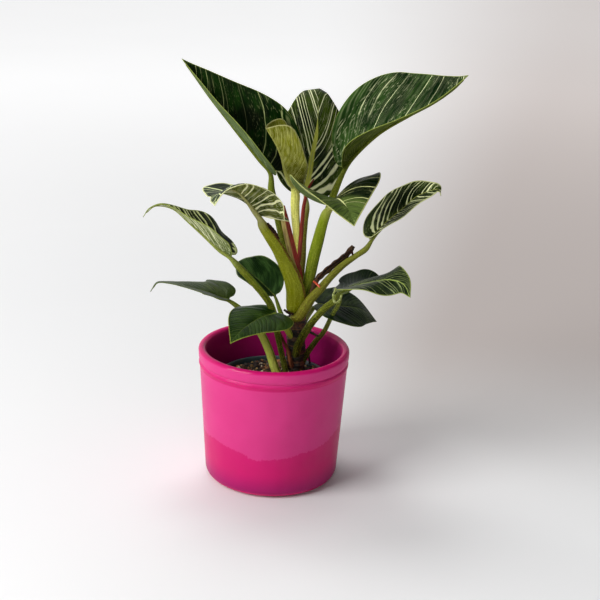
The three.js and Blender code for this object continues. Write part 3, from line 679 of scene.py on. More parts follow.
@dataclass(frozen=True)
class LeafLook:
    """Tints and markings of one leaf. Widths and reaches are shares, or millimetres in *_width."""

    ground: Tint
    ground_light: Tint
    stripe: Tint
    stripes: float
    stripe_width: float
    feather: float
    seed: float = 0
    rib: Tint = (150, 168, 84)
    margin: Tint = (136, 148, 70)
    under: Tint = (92, 112, 62)
    under_light: Tint = (122, 140, 84)
    under_stripe: Tint = (196, 202, 150)
    under_rib: Tint = (176, 184, 120)
    stalk_low: Tint = (98, 132, 34)
    stalk_high: Tint = (120, 146, 46)
    stalk_edge_tint_and_shade: Tint = (112, 140, 40)
    veins: float = 15
    speckle: float = 0.2
    veinlets: float = 0.25
    margin_width: float = 0.55
    rib_width: float = 2.2
    sweep: float = 1
    bend: float = 1
    lean: float = 0.12
    arch: float = 0.55
    power: float = 2.2
    lobing: float = 1
    gloss: float = 0.36
    shine: float = 0.1
    paling: float = 0
    thinning: float = 0
    rib_reach: float = 1.2
    dark_tip: float = 2

    def blade_finish(self, name: str) -> Material:
        """Makes the material of a blade, dark above and paler below.

        Args:
            name: The material's name.

        Returns:
            The material.
        """
        bench = FinishBench(name)
        growth, rim = bench.mark("growth"), bench.mark("rim")
        levels = {level: getattr(self, level) for level in LEVELS}
        marks = bench.use(markings_group(), growth=growth, rim=rim, **levels)
        masks = {mask: marks[mask] for mask in MASKS}

        def side(tints: tuple[Tint, ...], **shares: Value) -> Wire:
            """Gives the colour of one side."""
            inputs = dict(zip(TINTS, tints)) | masks | shares
            return bench.use(tinting_group(), **inputs)["colour"]

        tints = (self.ground, self.ground_light, self.stripe, self.rib, self.margin)
        upper = side(tints, speck=marks["speck"], veinlet_share=self.veinlets * 0.12)
        tints = (self.under, self.under_light, self.under_stripe, self.under_rib, self.margin)
        lower = side(tints, veinlet_share=self.veinlets)
        tip = growth.parts()[2].rise(self.dark_tip, self.dark_tip + 0.06, 1.0, 0.0)
        below = rim.parts()[1].rise(0.3, 0.7) * tip
        rough = below * 0.4 + (marks["tone"] * 0.08 + self.gloss)
        colour = bench.blend(below, upper, lower)
        return bench.end(colour, rough, marks["height"], 0.0003, Specular_IOR_Level=self.shine)

    def stalk_finish(self, name: str, join: float) -> Material:
        """Makes the material of a petiole, from its sheathed foot to the rib under the blade.

        Args:
            name: The material's name.
            join: The share of the stalk's length at which the blade begins.

        Returns:
            The material.
        """
        bench = FinishBench(name)
        run = bench.mark("run")
        share, around, _ = run.parts()
        grain = bench.use(grain_group(), run=run, seed=self.seed, fibres=5.0)
        # One side of the lower stalk takes stalk_edge_tint_and_shade: a real tint on some leaves,
        # such as a red edge, and painted shade on leaf_front_right.
        edge = bench.math("COSINE", around * TURN).rise(0.72, 0.86)
        colour = bench.layers(
            self.stalk_low,
            (share.rise(0.05, 0.6), self.stalk_high),
            (share.rise(join - 0.06, join + 0.04), self.under_rib),
            (edge * share.rise(0.5, 0.62, 1.0, 0.0), self.stalk_edge_tint_and_shade),
        )
        pale = bench.blend(grain["fibre"] * 0.35, colour, (164, 168, 60))
        colour = bench.blend(grain["mottle"] * 0.4, pale, self.stalk_low, "MULTIPLY")
        fleck = bench.noise(bench.place(), 750.0).rise(0.5, 0.66)
        colour = bench.blend(fleck * 0.3, bench.blend(0.72, colour, pale), (180, 190, 60))
        rough, height = grain["mottle"] * 0.12 + 0.34, grain["height"] + fleck
        return bench.end(colour, rough, height, 0.0004, Specular_IOR_Level=0.1)


# --- Leaves ---

# Outline of a heart-shaped blade, from the notch at the petiole round the lobe to the tip: the
# share of the length and the share of the half width. The second has a rounded base instead.
# The third stays broad almost to the tip, as on a leaf that still unrolls.
HEART = (
    (0, 0.06), (-0.085, 0.22), (-0.115, 0.5), (-0.04, 0.8), (0.1, 0.96), (0.28, 1),
    (0.48, 0.88), (0.67, 0.62), (0.82, 0.34), (0.93, 0.12), (1, 0),
)  # fmt: skip
ROUNDED = (
    (0, 0.06), (0.015, 0.22), (0.05, 0.5), (0.11, 0.8), (0.19, 0.96), (0.32, 1),
    (0.5, 0.88), *HEART[7:],
)  # fmt: skip
BLUNT = (
    (0, 0.06), (-0.02, 0.2), (-0.05, 0.38), (0, 0.58), (0.12, 0.78), (0.32, 0.95),
    (0.53, 1.02), (0.72, 1.03), (0.86, 0.93), (0.95, 0.56), (1, 0),
)  # fmt: skip
OUTLINE_STEPS = 200
MARGIN_STEPS = 700
MIDRIB_STEPS = 120
VEIN_HALVINGS = 24
BLADE_ROWS = 104
BLADE_STEPS = 26
BLADE_THICKNESS = 0.55
ROW_POWER = 1.5
STEP_POWER = 1.3
EDGE_WAVE = 0.7
VEIN_RIPPLE = 0.16
MIDRIB_GROOVE = 0.45
RIB_START = 0.8
RIB_END = 0.35
RIB_REACH = 0.95


@dataclass(frozen=True)
class Blade:
    """The shape of a blade. Pairs hold the left and the right half; angles are in degrees."""

    midrib: Route
    across: tuple[Point, Point]
    width: Pair
    fold: Pair
    fold_tip: Pair
    curl: Pair
    lobe: Pair
    curl_tip: Pair | None = None
    blunt: Pair = (0, 0)
    neck: Pair = (0, 0)
    taper: float = 0.1
    funnel: Pair = (0, 0)


@dataclass(frozen=True)
class Petiole:
    """The route of a petiole from the stem to the blade, and its widths."""

    route: Route
    width: tuple[float, ...]
    flat: float = 0.85
    rings_each: int = 9


class Midrib:
    """A sampled midrib that gives the blade's frame at any distance along it."""

    def __init__(self, blade: Blade) -> None:
        """Samples the midrib of a blade.

        Args:
            blade: The blade.
        """
        self.points = curve(blade.midrib, MIDRIB_STEPS)
        self.run = distances(self.points)
        self.length = float(self.run[-1])
        self.across = blade.across

    def at(self, distance: np.ndarray) -> np.ndarray:
        """Gives the points at some distances."""
        return np.stack([np.interp(distance, self.run, self.points[:, k]) for k in range(3)], -1)

    def frame(self, distance: np.ndarray) -> tuple[np.ndarray, np.ndarray, np.ndarray]:
        """Gives points, directions across the blade and normals of its upper side.

        Args:
            distance: Distances along the midrib; below 0 it runs straight on backwards.

        Returns:
            The points, the sideways directions and the normals.
        """
        near = 0.03 * self.length
        behind = np.where(distance <= 0, 0.0, distance - near)
        ahead = np.where(distance <= 0, 2 * near, distance + near)
        heading = unit(self.at(ahead) - self.at(behind))
        first, last = (np.asarray(side, float) for side in self.across)
        raw = mix(first, last, np.clip(distance / self.length, 0, 1)[..., None])
        sideways = unit(raw - heading * np.sum(raw * heading, -1, keepdims=True))
        back = heading * np.minimum(distance, 0)[..., None]
        return self.at(distance) + back, sideways, np.cross(sideways, heading)


@dataclass(frozen=True)
class Leaf:
    """One leaf: a blade and a petiole that runs on as the blade's midrib."""

    blade: Blade
    petiole: Petiole
    look: LeafLook
    node: str
    order: int  # its turn when the petioles were laid against each other at the crown
    slot: str = "dark_leaf"

    def build(self) -> list[Object]:
        """Makes the blade and the petiole.

        Returns:
            Both objects.
        """
        name = self.node.removeprefix("leaf_")
        midrib = Midrib(self.blade)
        below = float(distances(self.petiole.route)[-1])
        join = below / (below + RIB_REACH * midrib.length)
        finish = self.look.blade_finish(f"blade {name}")
        blade = self.sheet(midrib).piece(f"blade_{name}", finish)
        finish = self.look.stalk_finish(f"petiole {name}", join)
        return [blade, self.stem(midrib).piece(f"petiole_{name}", finish)]

    def margin(self, side: int, rows: np.ndarray, length: float) -> tuple[np.ndarray, np.ndarray]:
        """Gives the outline of one half as distances along the midrib and out from it.

        Args:
            side: 0 for the left half, 1 for the right one.
            rows: Places round the outline, 0 at the petiole and 1 at the tip.
            length: The length of the midrib.

        Returns:
            The distances along and out.
        """
        blade, place = self.blade, np.linspace(0, 1, OUTLINE_STEPS)
        shapes = (curve(shape, OUTLINE_STEPS) for shape in (HEART, ROUNDED, BLUNT))
        heart, rounded, blunt = shapes
        outline = mix(rounded[:, 0], heart[:, 0], blade.lobe[side])
        outline = mix(outline, blunt[:, 0], blade.blunt[side])
        out = mix(heart[:, 1], blunt[:, 1], blade.blunt[side])
        along = np.interp(rows, place, outline) * length
        out = np.maximum(np.interp(rows, place, out), 0) * blade.width[side]
        out = out * (1 - blade.taper * smooth((along / length - 0.3) / 0.45))
        return along, out * (1 - blade.neck[side] * (1 - smooth(along / length / 0.35)))

    def vein(self, along: np.ndarray, out: np.ndarray, side: int) -> np.ndarray:
        """Finds where on the midrib the side vein through each point begins.

        Args:
            along: Shares of the length.
            out: Shares of the half width.
            side: 0 for the left half, 1 for the right one.

        Returns:
            Shares of the length.
        """
        look = self.look
        low, high = np.full_like(along, -0.2), np.full_like(along, 1.2)
        for _ in range(VEIN_HALVINGS):
            start = (low + high) / 2
            lead = (look.lean + 0.45 * start) * out * look.sweep
            lead = lead + (0.1 + look.arch * start) * out**look.power * look.bend
            lobe = (0.3 + 0.2 * self.blade.lobe[side]) * out * np.exp(-start / 0.05) * look.lobing
            short = start + lead - lobe < along
            low, high = np.where(short, start, low), np.where(short, high, start)
        return low

    def half(self, midrib: Midrib, side: int) -> tuple[np.ndarray, ...]:
        """Makes one half of the blade's upper side.

        Args:
            midrib: The midrib.
            side: 0 for the left half, 1 for the right one.

        Returns:
            Points by row and step, their "growth" and "rim" marks, and the midrib's normals.
        """
        blade, length = self.blade, midrib.length
        row = np.linspace(0, 0.998, BLADE_ROWS + 1)[:, None]
        reach = (np.linspace(0, 1, BLADE_STEPS + 1) ** STEP_POWER)[None]
        edge_along, edge_out = (values[:, None] for values in self.margin(side, row[:, 0], length))
        start = row**ROW_POWER * length
        bow = 0.05 * (row / 0.1) * np.exp(1 - row / 0.1)
        bow = bow - 0.05 * np.sin(math.pi * row) * smooth(row / 0.3)
        bend = (start + edge_along) / 2 + bow * length
        rest = 1 - reach
        along = rest**2 * start + 2 * reach * rest * bend + reach**2 * edge_along
        out = reach * edge_out

        width = blade.width[side]
        share = np.clip(along / length, 0, 1)
        funnel = blade.funnel[side] * np.exp(-share / 0.13)
        rise = np.radians(mix(blade.fold[side], blade.fold_tip[side], share) + funnel)
        turn = np.radians(mix(blade.curl[side], (blade.curl_tip or blade.curl)[side], share))
        turn = np.where(np.abs(turn) < 1e-5, 1e-5, turn)
        radius = width / turn
        angle = rise + turn * out / width
        sideways = radius * (np.sin(angle) - np.sin(rise))
        upwards = radius * (np.cos(rise) - np.cos(angle))
        wave = np.sin(TURN * (3 * row + 0.37 * side + (self.order * 0.37) % 1))
        upwards = upwards + EDGE_WAVE * (out / width) ** 2 * wave

        vein = self.vein(along / length, out / width, side)
        ripple = np.cos(TURN * vein * self.look.veins)
        calm = smooth(out / (0.3 * width)) * smooth(rest / 0.12) * smooth((1 - share) / 0.2)
        upwards = upwards - VEIN_RIPPLE * ripple * calm
        upwards = upwards - MIDRIB_GROOVE * np.exp(-((out / 1.5) ** 2)) * (1 - share)

        point, across, normal = midrib.frame(along)
        sign = -1 if side == 0 else 1
        points = point + sign * across * sideways[..., None] + normal * upwards[..., None]

        fine = np.linspace(0, 1, MARGIN_STEPS)
        fine_along, fine_out = self.margin(side, fine, length)
        gap = np.hypot(along[..., None] - fine_along, out[..., None] - fine_out).min(-1)
        growth = np.stack([vein, sign * out / width, share], -1)
        rim = np.stack([gap, np.zeros_like(gap), sign * out], -1)
        return points, growth, rim, midrib.frame(start * np.ones_like(reach))[2]

    def sheet(self, midrib: Midrib) -> Shell:
        """Makes the blade as a thin closed sheet.

        Args:
            midrib: The midrib.

        Returns:
            The shell, with the mark "growth": where the side vein begins, the share of the half
            width and the share of the length; and the mark "rim": the distance from the margin,
            1 on the underside, and the distance out from the midrib.
        """
        upper, growth, rim, straight = (
            np.concatenate([left[:, ::-1], right[:, 1:]], 1)
            for left, right in zip(self.half(midrib, 0), self.half(midrib, 1))
        )
        normal = unit(np.cross(np.gradient(upper, axis=1), np.gradient(upper, axis=0)))
        share = np.exp(-np.abs(rim[..., 2:]) / (3 * BLADE_THICKNESS))
        share[0] = 1
        lower = upper - BLADE_THICKNESS * unit(mix(normal, straight, share))
        below = rim + np.array([0, 1, 0])

        rows, columns, _ = upper.shape
        shift = rows * columns
        index = np.arange(shift).reshape(rows, columns)
        a, b = index[:-1, :-1].ravel(), index[:-1, 1:].ravel()
        c, d = index[1:, 1:].ravel(), index[1:, :-1].ravel()
        faces = np.vstack([np.stack([a, b, c, d], 1), np.stack([a, d, c, b], 1) + shift])
        ring = np.array([*index[0], *index[1:, -1], *index[-1, -2::-1], *index[-2:0:-1, 0]])
        after = np.roll(ring, -1)
        faces = np.vstack([faces, np.stack([after, ring, ring + shift, after + shift], 1)])

        def both(first: np.ndarray, second: np.ndarray) -> np.ndarray:
            """Lists the upper side's values and then the lower side's."""
            return np.concatenate([first.reshape(-1, 3), second.reshape(-1, 3)])

        marks = {"growth": both(growth, growth), "rim": both(rim, below)}
        return Shell(both(upper, lower), [tuple(face) for face in faces.tolist()], marks)

    def stem(self, midrib: Midrib) -> Shell:
        """Makes the petiole and the raised rib under the blade as one stalk.

        Args:
            midrib: The midrib.

        Returns:
            The stalk.
        """
        petiole = self.petiole
        shares = np.array([0, 0.12, 0.3, 0.5, 0.68, 0.84, RIB_REACH])
        point, _, normal = midrib.frame(shares * midrib.length)
        swell = max(0.62 * petiole.width[-1] / 2 - RIB_START, 0)
        half = RIB_START + swell * np.maximum(1 - shares / 0.68, 0) ** 2
        half = np.where(shares > 0.3, mix(half, RIB_END, (shares - 0.3) / 0.65), half)
        route = np.vstack([petiole.route, point - normal * (half + 0.3)[:, None]])
        rings = len(route) * petiole.rings_each
        wide = curve([*(w / 2 for w in petiole.width), *half], rings)[:, 0]
        place = np.linspace(0, len(route) - 1, rings)
        rounding = np.clip((place - (len(petiole.route) - 1) + 2) / 2, 0, 1)
        return stalk(Travel.along(route, rings), wide, wide * mix(petiole.flat, 1, rounding))


DARK = LeafLook(
    ground=(12, 36, 6), ground_light=(32, 56, 18), stripe=(84, 100, 52), rib=(76, 92, 34),
    margin=(88, 102, 36), under=(60, 72, 40), under_light=(78, 90, 56), under_rib=(92, 104, 44),
    stripes=0.16, stripe_width=0.05, feather=0.1, speckle=0.1, veinlets=0.14, margin_width=0.4,
    rib_width=1.6, sweep=0.8, bend=1.8, shine=0.12,
)  # fmt: skip
LEAVES = (
    Leaf(
        Blade(
            ((-7, 20, 286), (-19, 18, 300), (-40, 15, 325), (-60, 11, 350), (-75, 7, 371),
             (-87, 3, 388)),
            across=((0.52, 0.81, 0.27), (0.41, 0.8, 0.44)), width=(46, 46), fold=(50, 53),
            fold_tip=(53, 55), curl=(3, 3), lobe=(0.2, 0.6),
        ),
        Petiole(
            ((21, 17, 153), (22, 18, 163), (18, 19, 180), (12, 20, 202), (5, 21, 222),
             (0, 21, 241), (-4, 20, 258), (-7, 20, 270)),
            (6, 6, 6, 6.2, 6.4, 6.5, 6.5, 6.5),
        ),
        LeafLook(
            ground=(0, 14, 0), ground_light=(16, 54, 2), stripe=(190, 200, 132),
            under=(62, 82, 28), under_light=(98, 116, 66), under_stripe=(140, 152, 104),
            under_rib=(104, 118, 40), stalk_low=(52, 62, 14), stalk_high=(100, 118, 26),
            stalk_edge_tint_and_shade=(46, 60, 12), veins=17, stripes=0.5, stripe_width=0.06, feather=0.12,
            speckle=0.25, sweep=0.9, bend=2.6, shine=0.06, seed=1,
        ),
        node="leaf_left_tall", order=12,
    ),
    Leaf(
        Blade(
            ((24, 46, 263), (27, 50, 280), (29, 53, 296), (32, 56, 313), (33, 60, 329),
             (33, 67, 344), (33, 77, 352), (34, 89, 352), (35, 99, 345)),
            across=((1, 0.35, 0.1), (1, 0.1, 0)), width=(38, 37), fold=(20, 6),
            fold_tip=(-12, -34), curl=(-10, -22), lobe=(0.4, 0.4), taper=0,
        ),
        Petiole(
            ((21, 18, 151), (22, 19, 160), (23, 22, 175), (23, 25, 191), (24, 28, 204),
             (24, 32, 220), (25, 37, 238), (26, 42, 250)),
            (6, 6, 6, 5.6, 5.2, 5, 4.8, 4.6),
        ),
        LeafLook(
            ground=(0, 22, 0), ground_light=(66, 86, 14), stripe=(248, 250, 200),
            rib=(196, 198, 88), stalk_low=(120, 96, 50), stalk_high=(104, 100, 40), veins=20,
            stripes=0.95, stripe_width=0.27, feather=0.3, speckle=0.3, rib_width=6.4, sweep=2.2,
            bend=1.6, lean=0.1, arch=2, power=2.5, lobing=0, shine=0.05, thinning=0.72,
            rib_reach=0.6, seed=2,
        ),
        node="leaf_back_striped", order=11,
    ),
    Leaf(
        Blade(
            ((57, 22, 292), (73, 18, 314), (96, 8, 335), (119, -7, 351), (140, -26, 369),
             (155, -48, 390)),
            across=((-0.11, -0.95, -0.28), (-0.14, -0.79, -0.6)), width=(52, 52), fold=(10, 27),
            fold_tip=(23, 35), curl=(42, 7), lobe=(0.4, 0), neck=(0, 0.4),
        ),
        Petiole(
            ((21, 18, 152), (23, 19, 160), (26, 21, 177), (31, 23, 199), (38, 24, 223),
             (44, 24, 247), (50, 23, 268)),
            (6, 6, 6.4, 6.5, 6.5, 6.5, 6.5),
        ),
        # Its lighter tone patches, in ground_light, are partly the leaf's own mottling and partly a
        # painted sheen.
        LeafLook(
            ground=(0, 24, 0), ground_light=(54, 82, 34), stripe=(240, 246, 190),
            under=(54, 70, 0), under_light=(80, 98, 4), under_stripe=(112, 118, 60),
            under_rib=(96, 108, 34), stalk_low=(70, 88, 4), stalk_high=(112, 124, 20), veins=17,
            stripes=0.45, stripe_width=0.08, feather=0.1, speckle=0.4, veinlets=0.7, sweep=0.7,
            bend=2, gloss=0.3, shine=0.02, thinning=0.5, seed=5,
        ),
        node="leaf_right_tall", order=13,
    ),
    Leaf(
        Blade(
            ((15, 3, 279), (11, -2, 284), (6, -6, 295), (1, -9, 311), (-6, -11, 324),
             (-12, -12, 333)),
            across=((0.2, 0.9, -0.2), (0.1, 0.9, -0.1)), width=(22, 23.5), fold=(60, -10),
            fold_tip=(64, -15), curl=(55, 60), curl_tip=(40, 65), lobe=(0.2, 0), blunt=(1.05, 1.9),
            neck=(0.32, 0.3),
        ),
        Petiole(
            ((21, 17, 157), (22, 15, 167), (20, 10, 193), (18, 8, 210), (18, 7, 227),
             (16, 6, 246), (15, 5, 261), (15, 4, 270)),
            (6, 6, 6, 6.5, 7, 7.5, 8, 8),
        ),
        LeafLook(
            ground=(106, 110, 14), ground_light=(130, 132, 34), stripe=(186, 188, 104),
            rib=(160, 160, 90), margin=(176, 174, 112), under=(92, 94, 0),
            under_light=(132, 134, 34), under_stripe=(190, 190, 110), under_rib=(200, 200, 110),
            stalk_low=(230, 220, 104), stalk_high=(255, 252, 140), stalk_edge_tint_and_shade=(150, 146, 60),
            stripes=0.5, stripe_width=0.07, feather=0.5, veinlets=0.85, margin_width=1.1,
            gloss=0.42, seed=3,
        ),
        node="leaf_young_folded", order=8, slot="young_leaf",
    ),
    Leaf(
        Blade(
            ((46, -6, 264), (51, -32, 277), (56, -56, 280), (61, -77, 278), (65, -94, 270)),
            across=((-0.97, 0, -0.22), (-0.99, 0.07, 0.12)), width=(45, 45), fold=(47, 22),
            fold_tip=(25, 1), curl=(-26, 30), lobe=(0.3, 0.3),
        ),
        Petiole(
            ((22, 17, 150), (24, 13, 162), (26, 12, 172), (30, 8, 189), (33, 4, 210),
             (37, 1, 230), (40, -2, 245), (43, -5, 256)),
            (8, 8, 9, 10, 11, 10.5, 9.5, 8.5),
        ),
        # Painted sheen: paling paints a paler grey-green region over the right half and towards the
        # tip. Painted shade: the dark stalk_edge_tint_and_shade paints one side of the petiole.
        LeafLook(
            ground=(0, 14, 0), ground_light=(74, 92, 38), stripe=(210, 214, 144),
            rib=(206, 210, 146), margin=(168, 172, 104), under_rib=(170, 172, 92),
            stalk_low=(28, 50, 0), stalk_high=(140, 162, 20), stalk_edge_tint_and_shade=(40, 84, 16), veins=13,
            stripes=0.65, stripe_width=0.11, feather=0.2, speckle=0.2, margin_width=1,
            rib_width=2.6, shine=0.02, paling=1, thinning=0.75, rib_reach=0.74, seed=6,
        ),
        node="leaf_front_right", order=7,
    ),
    Leaf(
        Blade(
            ((-16, -8, 252), (-23, -14, 262), (-29, -21, 271), (-36, -31, 280), (-44, -41, 284),
             (-51, -50, 281), (-53, -60, 274)),
            across=((-0.01, 0.47, -0.88), (0.02, 0.5, -0.87)), width=(46, 46), fold=(-6, 64),
            fold_tip=(-40, 30), curl=(-72, 21), lobe=(0.9, 0.9),
        ),
        Petiole(
            ((20, 13, 156), (18, 9, 161), (19, 7, 169), (18, 4, 181), (14, 1, 195),
             (8, -2, 208), (1, -5, 222), (-7, -7, 235), (-13, -8, 244)),
            (12, 16, 19, 18, 16, 14, 12, 11, 9), flat=0.5,
        ),
        LeafLook(
            ground=(0, 16, 0), ground_light=(40, 56, 20), stripe=(226, 236, 172),
            margin=(214, 216, 160), under=(44, 58, 0), under_light=(112, 120, 44),
            under_stripe=(240, 240, 190), under_rib=(178, 172, 118), stalk_low=(110, 114, 0),
            stalk_high=(126, 130, 18), stalk_edge_tint_and_shade=(90, 16, 26), veins=16, stripes=1,
            stripe_width=0.2, feather=0.05, veinlets=0.3, margin_width=1.3, rib_width=3.4,
            shine=0.06, thinning=0.5, dark_tip=0.8, seed=7,
        ),
        node="leaf_front_left", order=0,
    ),
    Leaf(
        Blade(
            ((-40, -18, 218), (-54, -21, 228), (-67, -24, 241.5), (-79, -27, 252),
             (-90, -29, 262), (-101, -31, 266), (-111, -33, 263), (-117, -34, 255)),
            across=((0.05, 0.97, -0.22), (0.2, 0.97, -0.1)), width=(24, 28), fold=(28, 28),
            fold_tip=(34, 30), curl=(10, -10), lobe=(0, 0.6), taper=0.8, funnel=(-10, 0),
        ),
        Petiole(
            ((18, 19, 76), (14, 15, 87), (11, 12, 98), (5, 7, 125), (2, 2, 141), (-2, -6, 163),
             (-8, -10, 176), (-20, -14, 192), (-33, -17, 207)),
            (5, 5.2, 5.5, 5.5, 6, 6.4, 6.5, 6.5, 6.5),
        ),
        LeafLook(
            ground=(0, 18, 0), ground_light=(26, 44, 8), stripe=(232, 240, 170),
            under=(84, 98, 44), under_light=(132, 142, 92), under_stripe=(210, 214, 168),
            under_rib=(140, 150, 80), stalk_low=(20, 40, 4), stalk_high=(80, 90, 6), veins=13,
            stripes=0.95, stripe_width=0.2, feather=0.05, veinlets=0.7, margin_width=1.1,
            sweep=1.4, bend=2, shine=0.05, seed=8,
        ),
        node="leaf_left_mid", order=3,
    ),
    Leaf(
        Blade(
            ((-42, 0, 171), (-51, -3, 174), (-61, -6, 179), (-71, -7, 182), (-85, -11, 187),
             (-97, -14, 190), (-107, -16, 190), (-113, -17, 181)),
            across=((-0.21, 0.95, 0.22), (-0.25, 0.94, -0.24)), width=(26, 30), fold=(28, 26),
            fold_tip=(-8, -10), curl=(-6, -37), lobe=(0, 0.8), taper=0.45,
        ),
        Petiole(
            ((17, 18, 72), (9, 14, 84), (2, 12, 97), (-5, 8, 119), (-13, 5, 137), (-23, 3, 149),
             (-32, 1, 161)),
            (7, 8, 8.5, 8, 7.5, 6.5, 5.5), flat=0.7,
        ),
        replace(
            DARK, ground=(34, 50, 8), ground_light=(56, 68, 26), under=(70, 78, 40),
            stalk_low=(226, 238, 112), stalk_high=(84, 92, 26), speckle=0.5, seed=9,
        ),
        node="leaf_left_low", order=4,
    ),
    Leaf(
        Blade(
            ((2, -12, 164), (-11, -28, 165), (-22, -44, 163), (-30, -58, 160), (-37, -70, 154)),
            across=((-0.62, 0.78, 0.05), (-0.75, 0.6, 0.3)), width=(30, 30), fold=(2, 12),
            fold_tip=(10, 10), curl=(-10, -30), lobe=(0.3, 0.6),
        ),
        Petiole(
            ((20, 17, 124), (16, 13, 131), (12, 6, 140), (8, -4, 152)),
            (6, 6, 6, 6),
        ),
        replace(
            DARK, ground=(18, 42, 2), ground_light=(54, 78, 26), margin=(136, 146, 56),
            stalk_low=(206, 220, 84), stalk_high=(190, 200, 80), stripes=0.3, margin_width=0.8,
            seed=10,
        ),
        node="leaf_low_front", order=6,
    ),
    Leaf(
        Blade(
            ((-1, 22, 168), (-13, 42, 173), (-27, 60, 179), (-41, 76, 183)),
            across=((0.89, 0.32, 0.33), (0.63, 0.22, 0.74)), width=(33, 33), fold=(45, 45),
            fold_tip=(64, 64), curl=(10, 38), lobe=(0.7, 0.7),
        ),
        Petiole(
            ((20, 17, 126), (15, 18, 132), (10, 20, 141), (4, 21, 154)),
            (4.4, 4.4, 4.2, 4.2),
        ),
        replace(
            DARK, ground=(14, 36, 8), ground_light=(52, 80, 34), shine=0.16, seed=11,
        ),
        node="leaf_back_left", order=14,
    ),
    Leaf(
        Blade(
            ((84, 0, 233), (91, -2, 243), (102, -6, 256), (111, -9, 265), (121, -12, 276),
             (131, -15, 282), (140, -17, 285), (143, -18, 279)),
            across=((0.18, -0.98, -0.04), (0.08, -0.81, -0.58)), width=(31, 27), fold=(17, 18),
            fold_tip=(7, 8), curl=(-10, 13), lobe=(0.6, 0), blunt=(0.1, 0.1), funnel=(0, 10),
        ),
        Petiole(
            ((20, 13, 148), (18, 9, 152), (22, 5, 154), (27, 3, 163), (33, 2, 174),
             (41, 1, 184), (49, 0, 195), (60, 0, 207), (71, 0, 216), (80, 0, 223)),
            (8, 9, 10, 11, 9.5, 8.5, 7.5, 6.8, 5.6, 5.2),
        ),
        LeafLook(
            ground=(0, 16, 0), ground_light=(46, 62, 14), stripe=(230, 234, 178),
            rib=(132, 138, 62), margin=(196, 200, 140), under=(84, 92, 50),
            under_light=(106, 112, 74), under_rib=(110, 116, 50), stalk_low=(98, 90, 22),
            stalk_high=(112, 114, 40), stripes=0.8, stripe_width=0.17, feather=0.2,
            margin_width=1.3, sweep=0.5, bend=2, shine=0.03, seed=12,
        ),
        node="leaf_right_mid", order=1,
    ),
    Leaf(
        Blade(
            ((56, -22, 189), (66, -32, 197), (81, -45, 206), (98, -60, 214), (110, -75, 215),
             (115, -89, 208)),
            across=((-0.09, -1, 0.01), (-0.48, 0.8, -0.36)), width=(23, 30), fold=(3, 15),
            fold_tip=(6, 14), curl=(-40, 9), lobe=(0, 0), blunt=(0.2, 0.05), neck=(0.6, 0.6),
            funnel=(0, 20),
        ),
        Petiole(
            ((19, 17, 106), (21, 9, 118), (22, 6, 125), (27, 0, 139), (35, -7, 155),
             (45, -14, 170), (53, -19, 179)),
            (6, 7, 7.5, 7.5, 7, 6.5, 6),
        ),
        LeafLook(
            ground=(0, 18, 0), ground_light=(28, 44, 12), stripe=(150, 164, 104),
            under_rib=(84, 96, 40), stalk_low=(14, 26, 0), stalk_high=(46, 60, 0), stripes=0.7,
            stripe_width=0.1, feather=0.35, margin_width=0.9, sweep=1.6, bend=3, seed=13,
        ),
        node="leaf_right_low", order=2,
    ),
    Leaf(
        Blade(
            ((39, 28, 160), (61, 30, 158), (81, 39, 152), (97, 51, 136)),
            across=((0.21, -0.97, -0.15), (0.15, -0.79, -0.6)), width=(31, 31), fold=(4, 13),
            fold_tip=(-11, -2), curl=(-1, -14), lobe=(0.65, 0.65),
        ),
        Petiole(
            ((20, 17, 128), (23, 22, 134), (27, 25, 142), (32, 27, 151)),
            (5, 5, 5, 5),
        ),
        replace(
            DARK, ground=(14, 32, 10), ground_light=(54, 68, 36), stalk_low=(150, 164, 90),
            stalk_high=(190, 204, 120), shine=0.05, seed=14,
        ),
        node="leaf_low_right", order=15,
    ),
    Leaf(
        Blade(
            ((60, 6, 179), (73, 12, 186), (87, 23, 186), (101, 38, 181)),
            across=((-0.05, -0.99, 0.12), (-0.59, -0.81, 0.04)), width=(31, 31), fold=(11, 5),
            fold_tip=(3, -3), curl=(-4, -9), lobe=(0.6, 0.6),
        ),
        Petiole(
            ((21, 19, 96), (25, 19, 100), (30, 17, 112), (38, 14, 127), (46, 11, 139),
             (53, 8, 157), (58, 7, 167)),
            (5.5, 5.5, 5.5, 5, 4.5, 4.2, 4),
        ),
        replace(
            DARK, ground=(10, 28, 8), ground_light=(32, 44, 26), stalk_low=(28, 38, 10),
            stalk_high=(60, 70, 30), shine=0.05, seed=15,
        ),
        node="leaf_right_back", order=5,
    ),
)  # fmt: skip


# --- Sheaths and scraps ---


class SheathKind(Enum):
    """The age of a sheath (cataphyll)."""

    RED = "red_sheath"
    DRY = "dry_sheath"


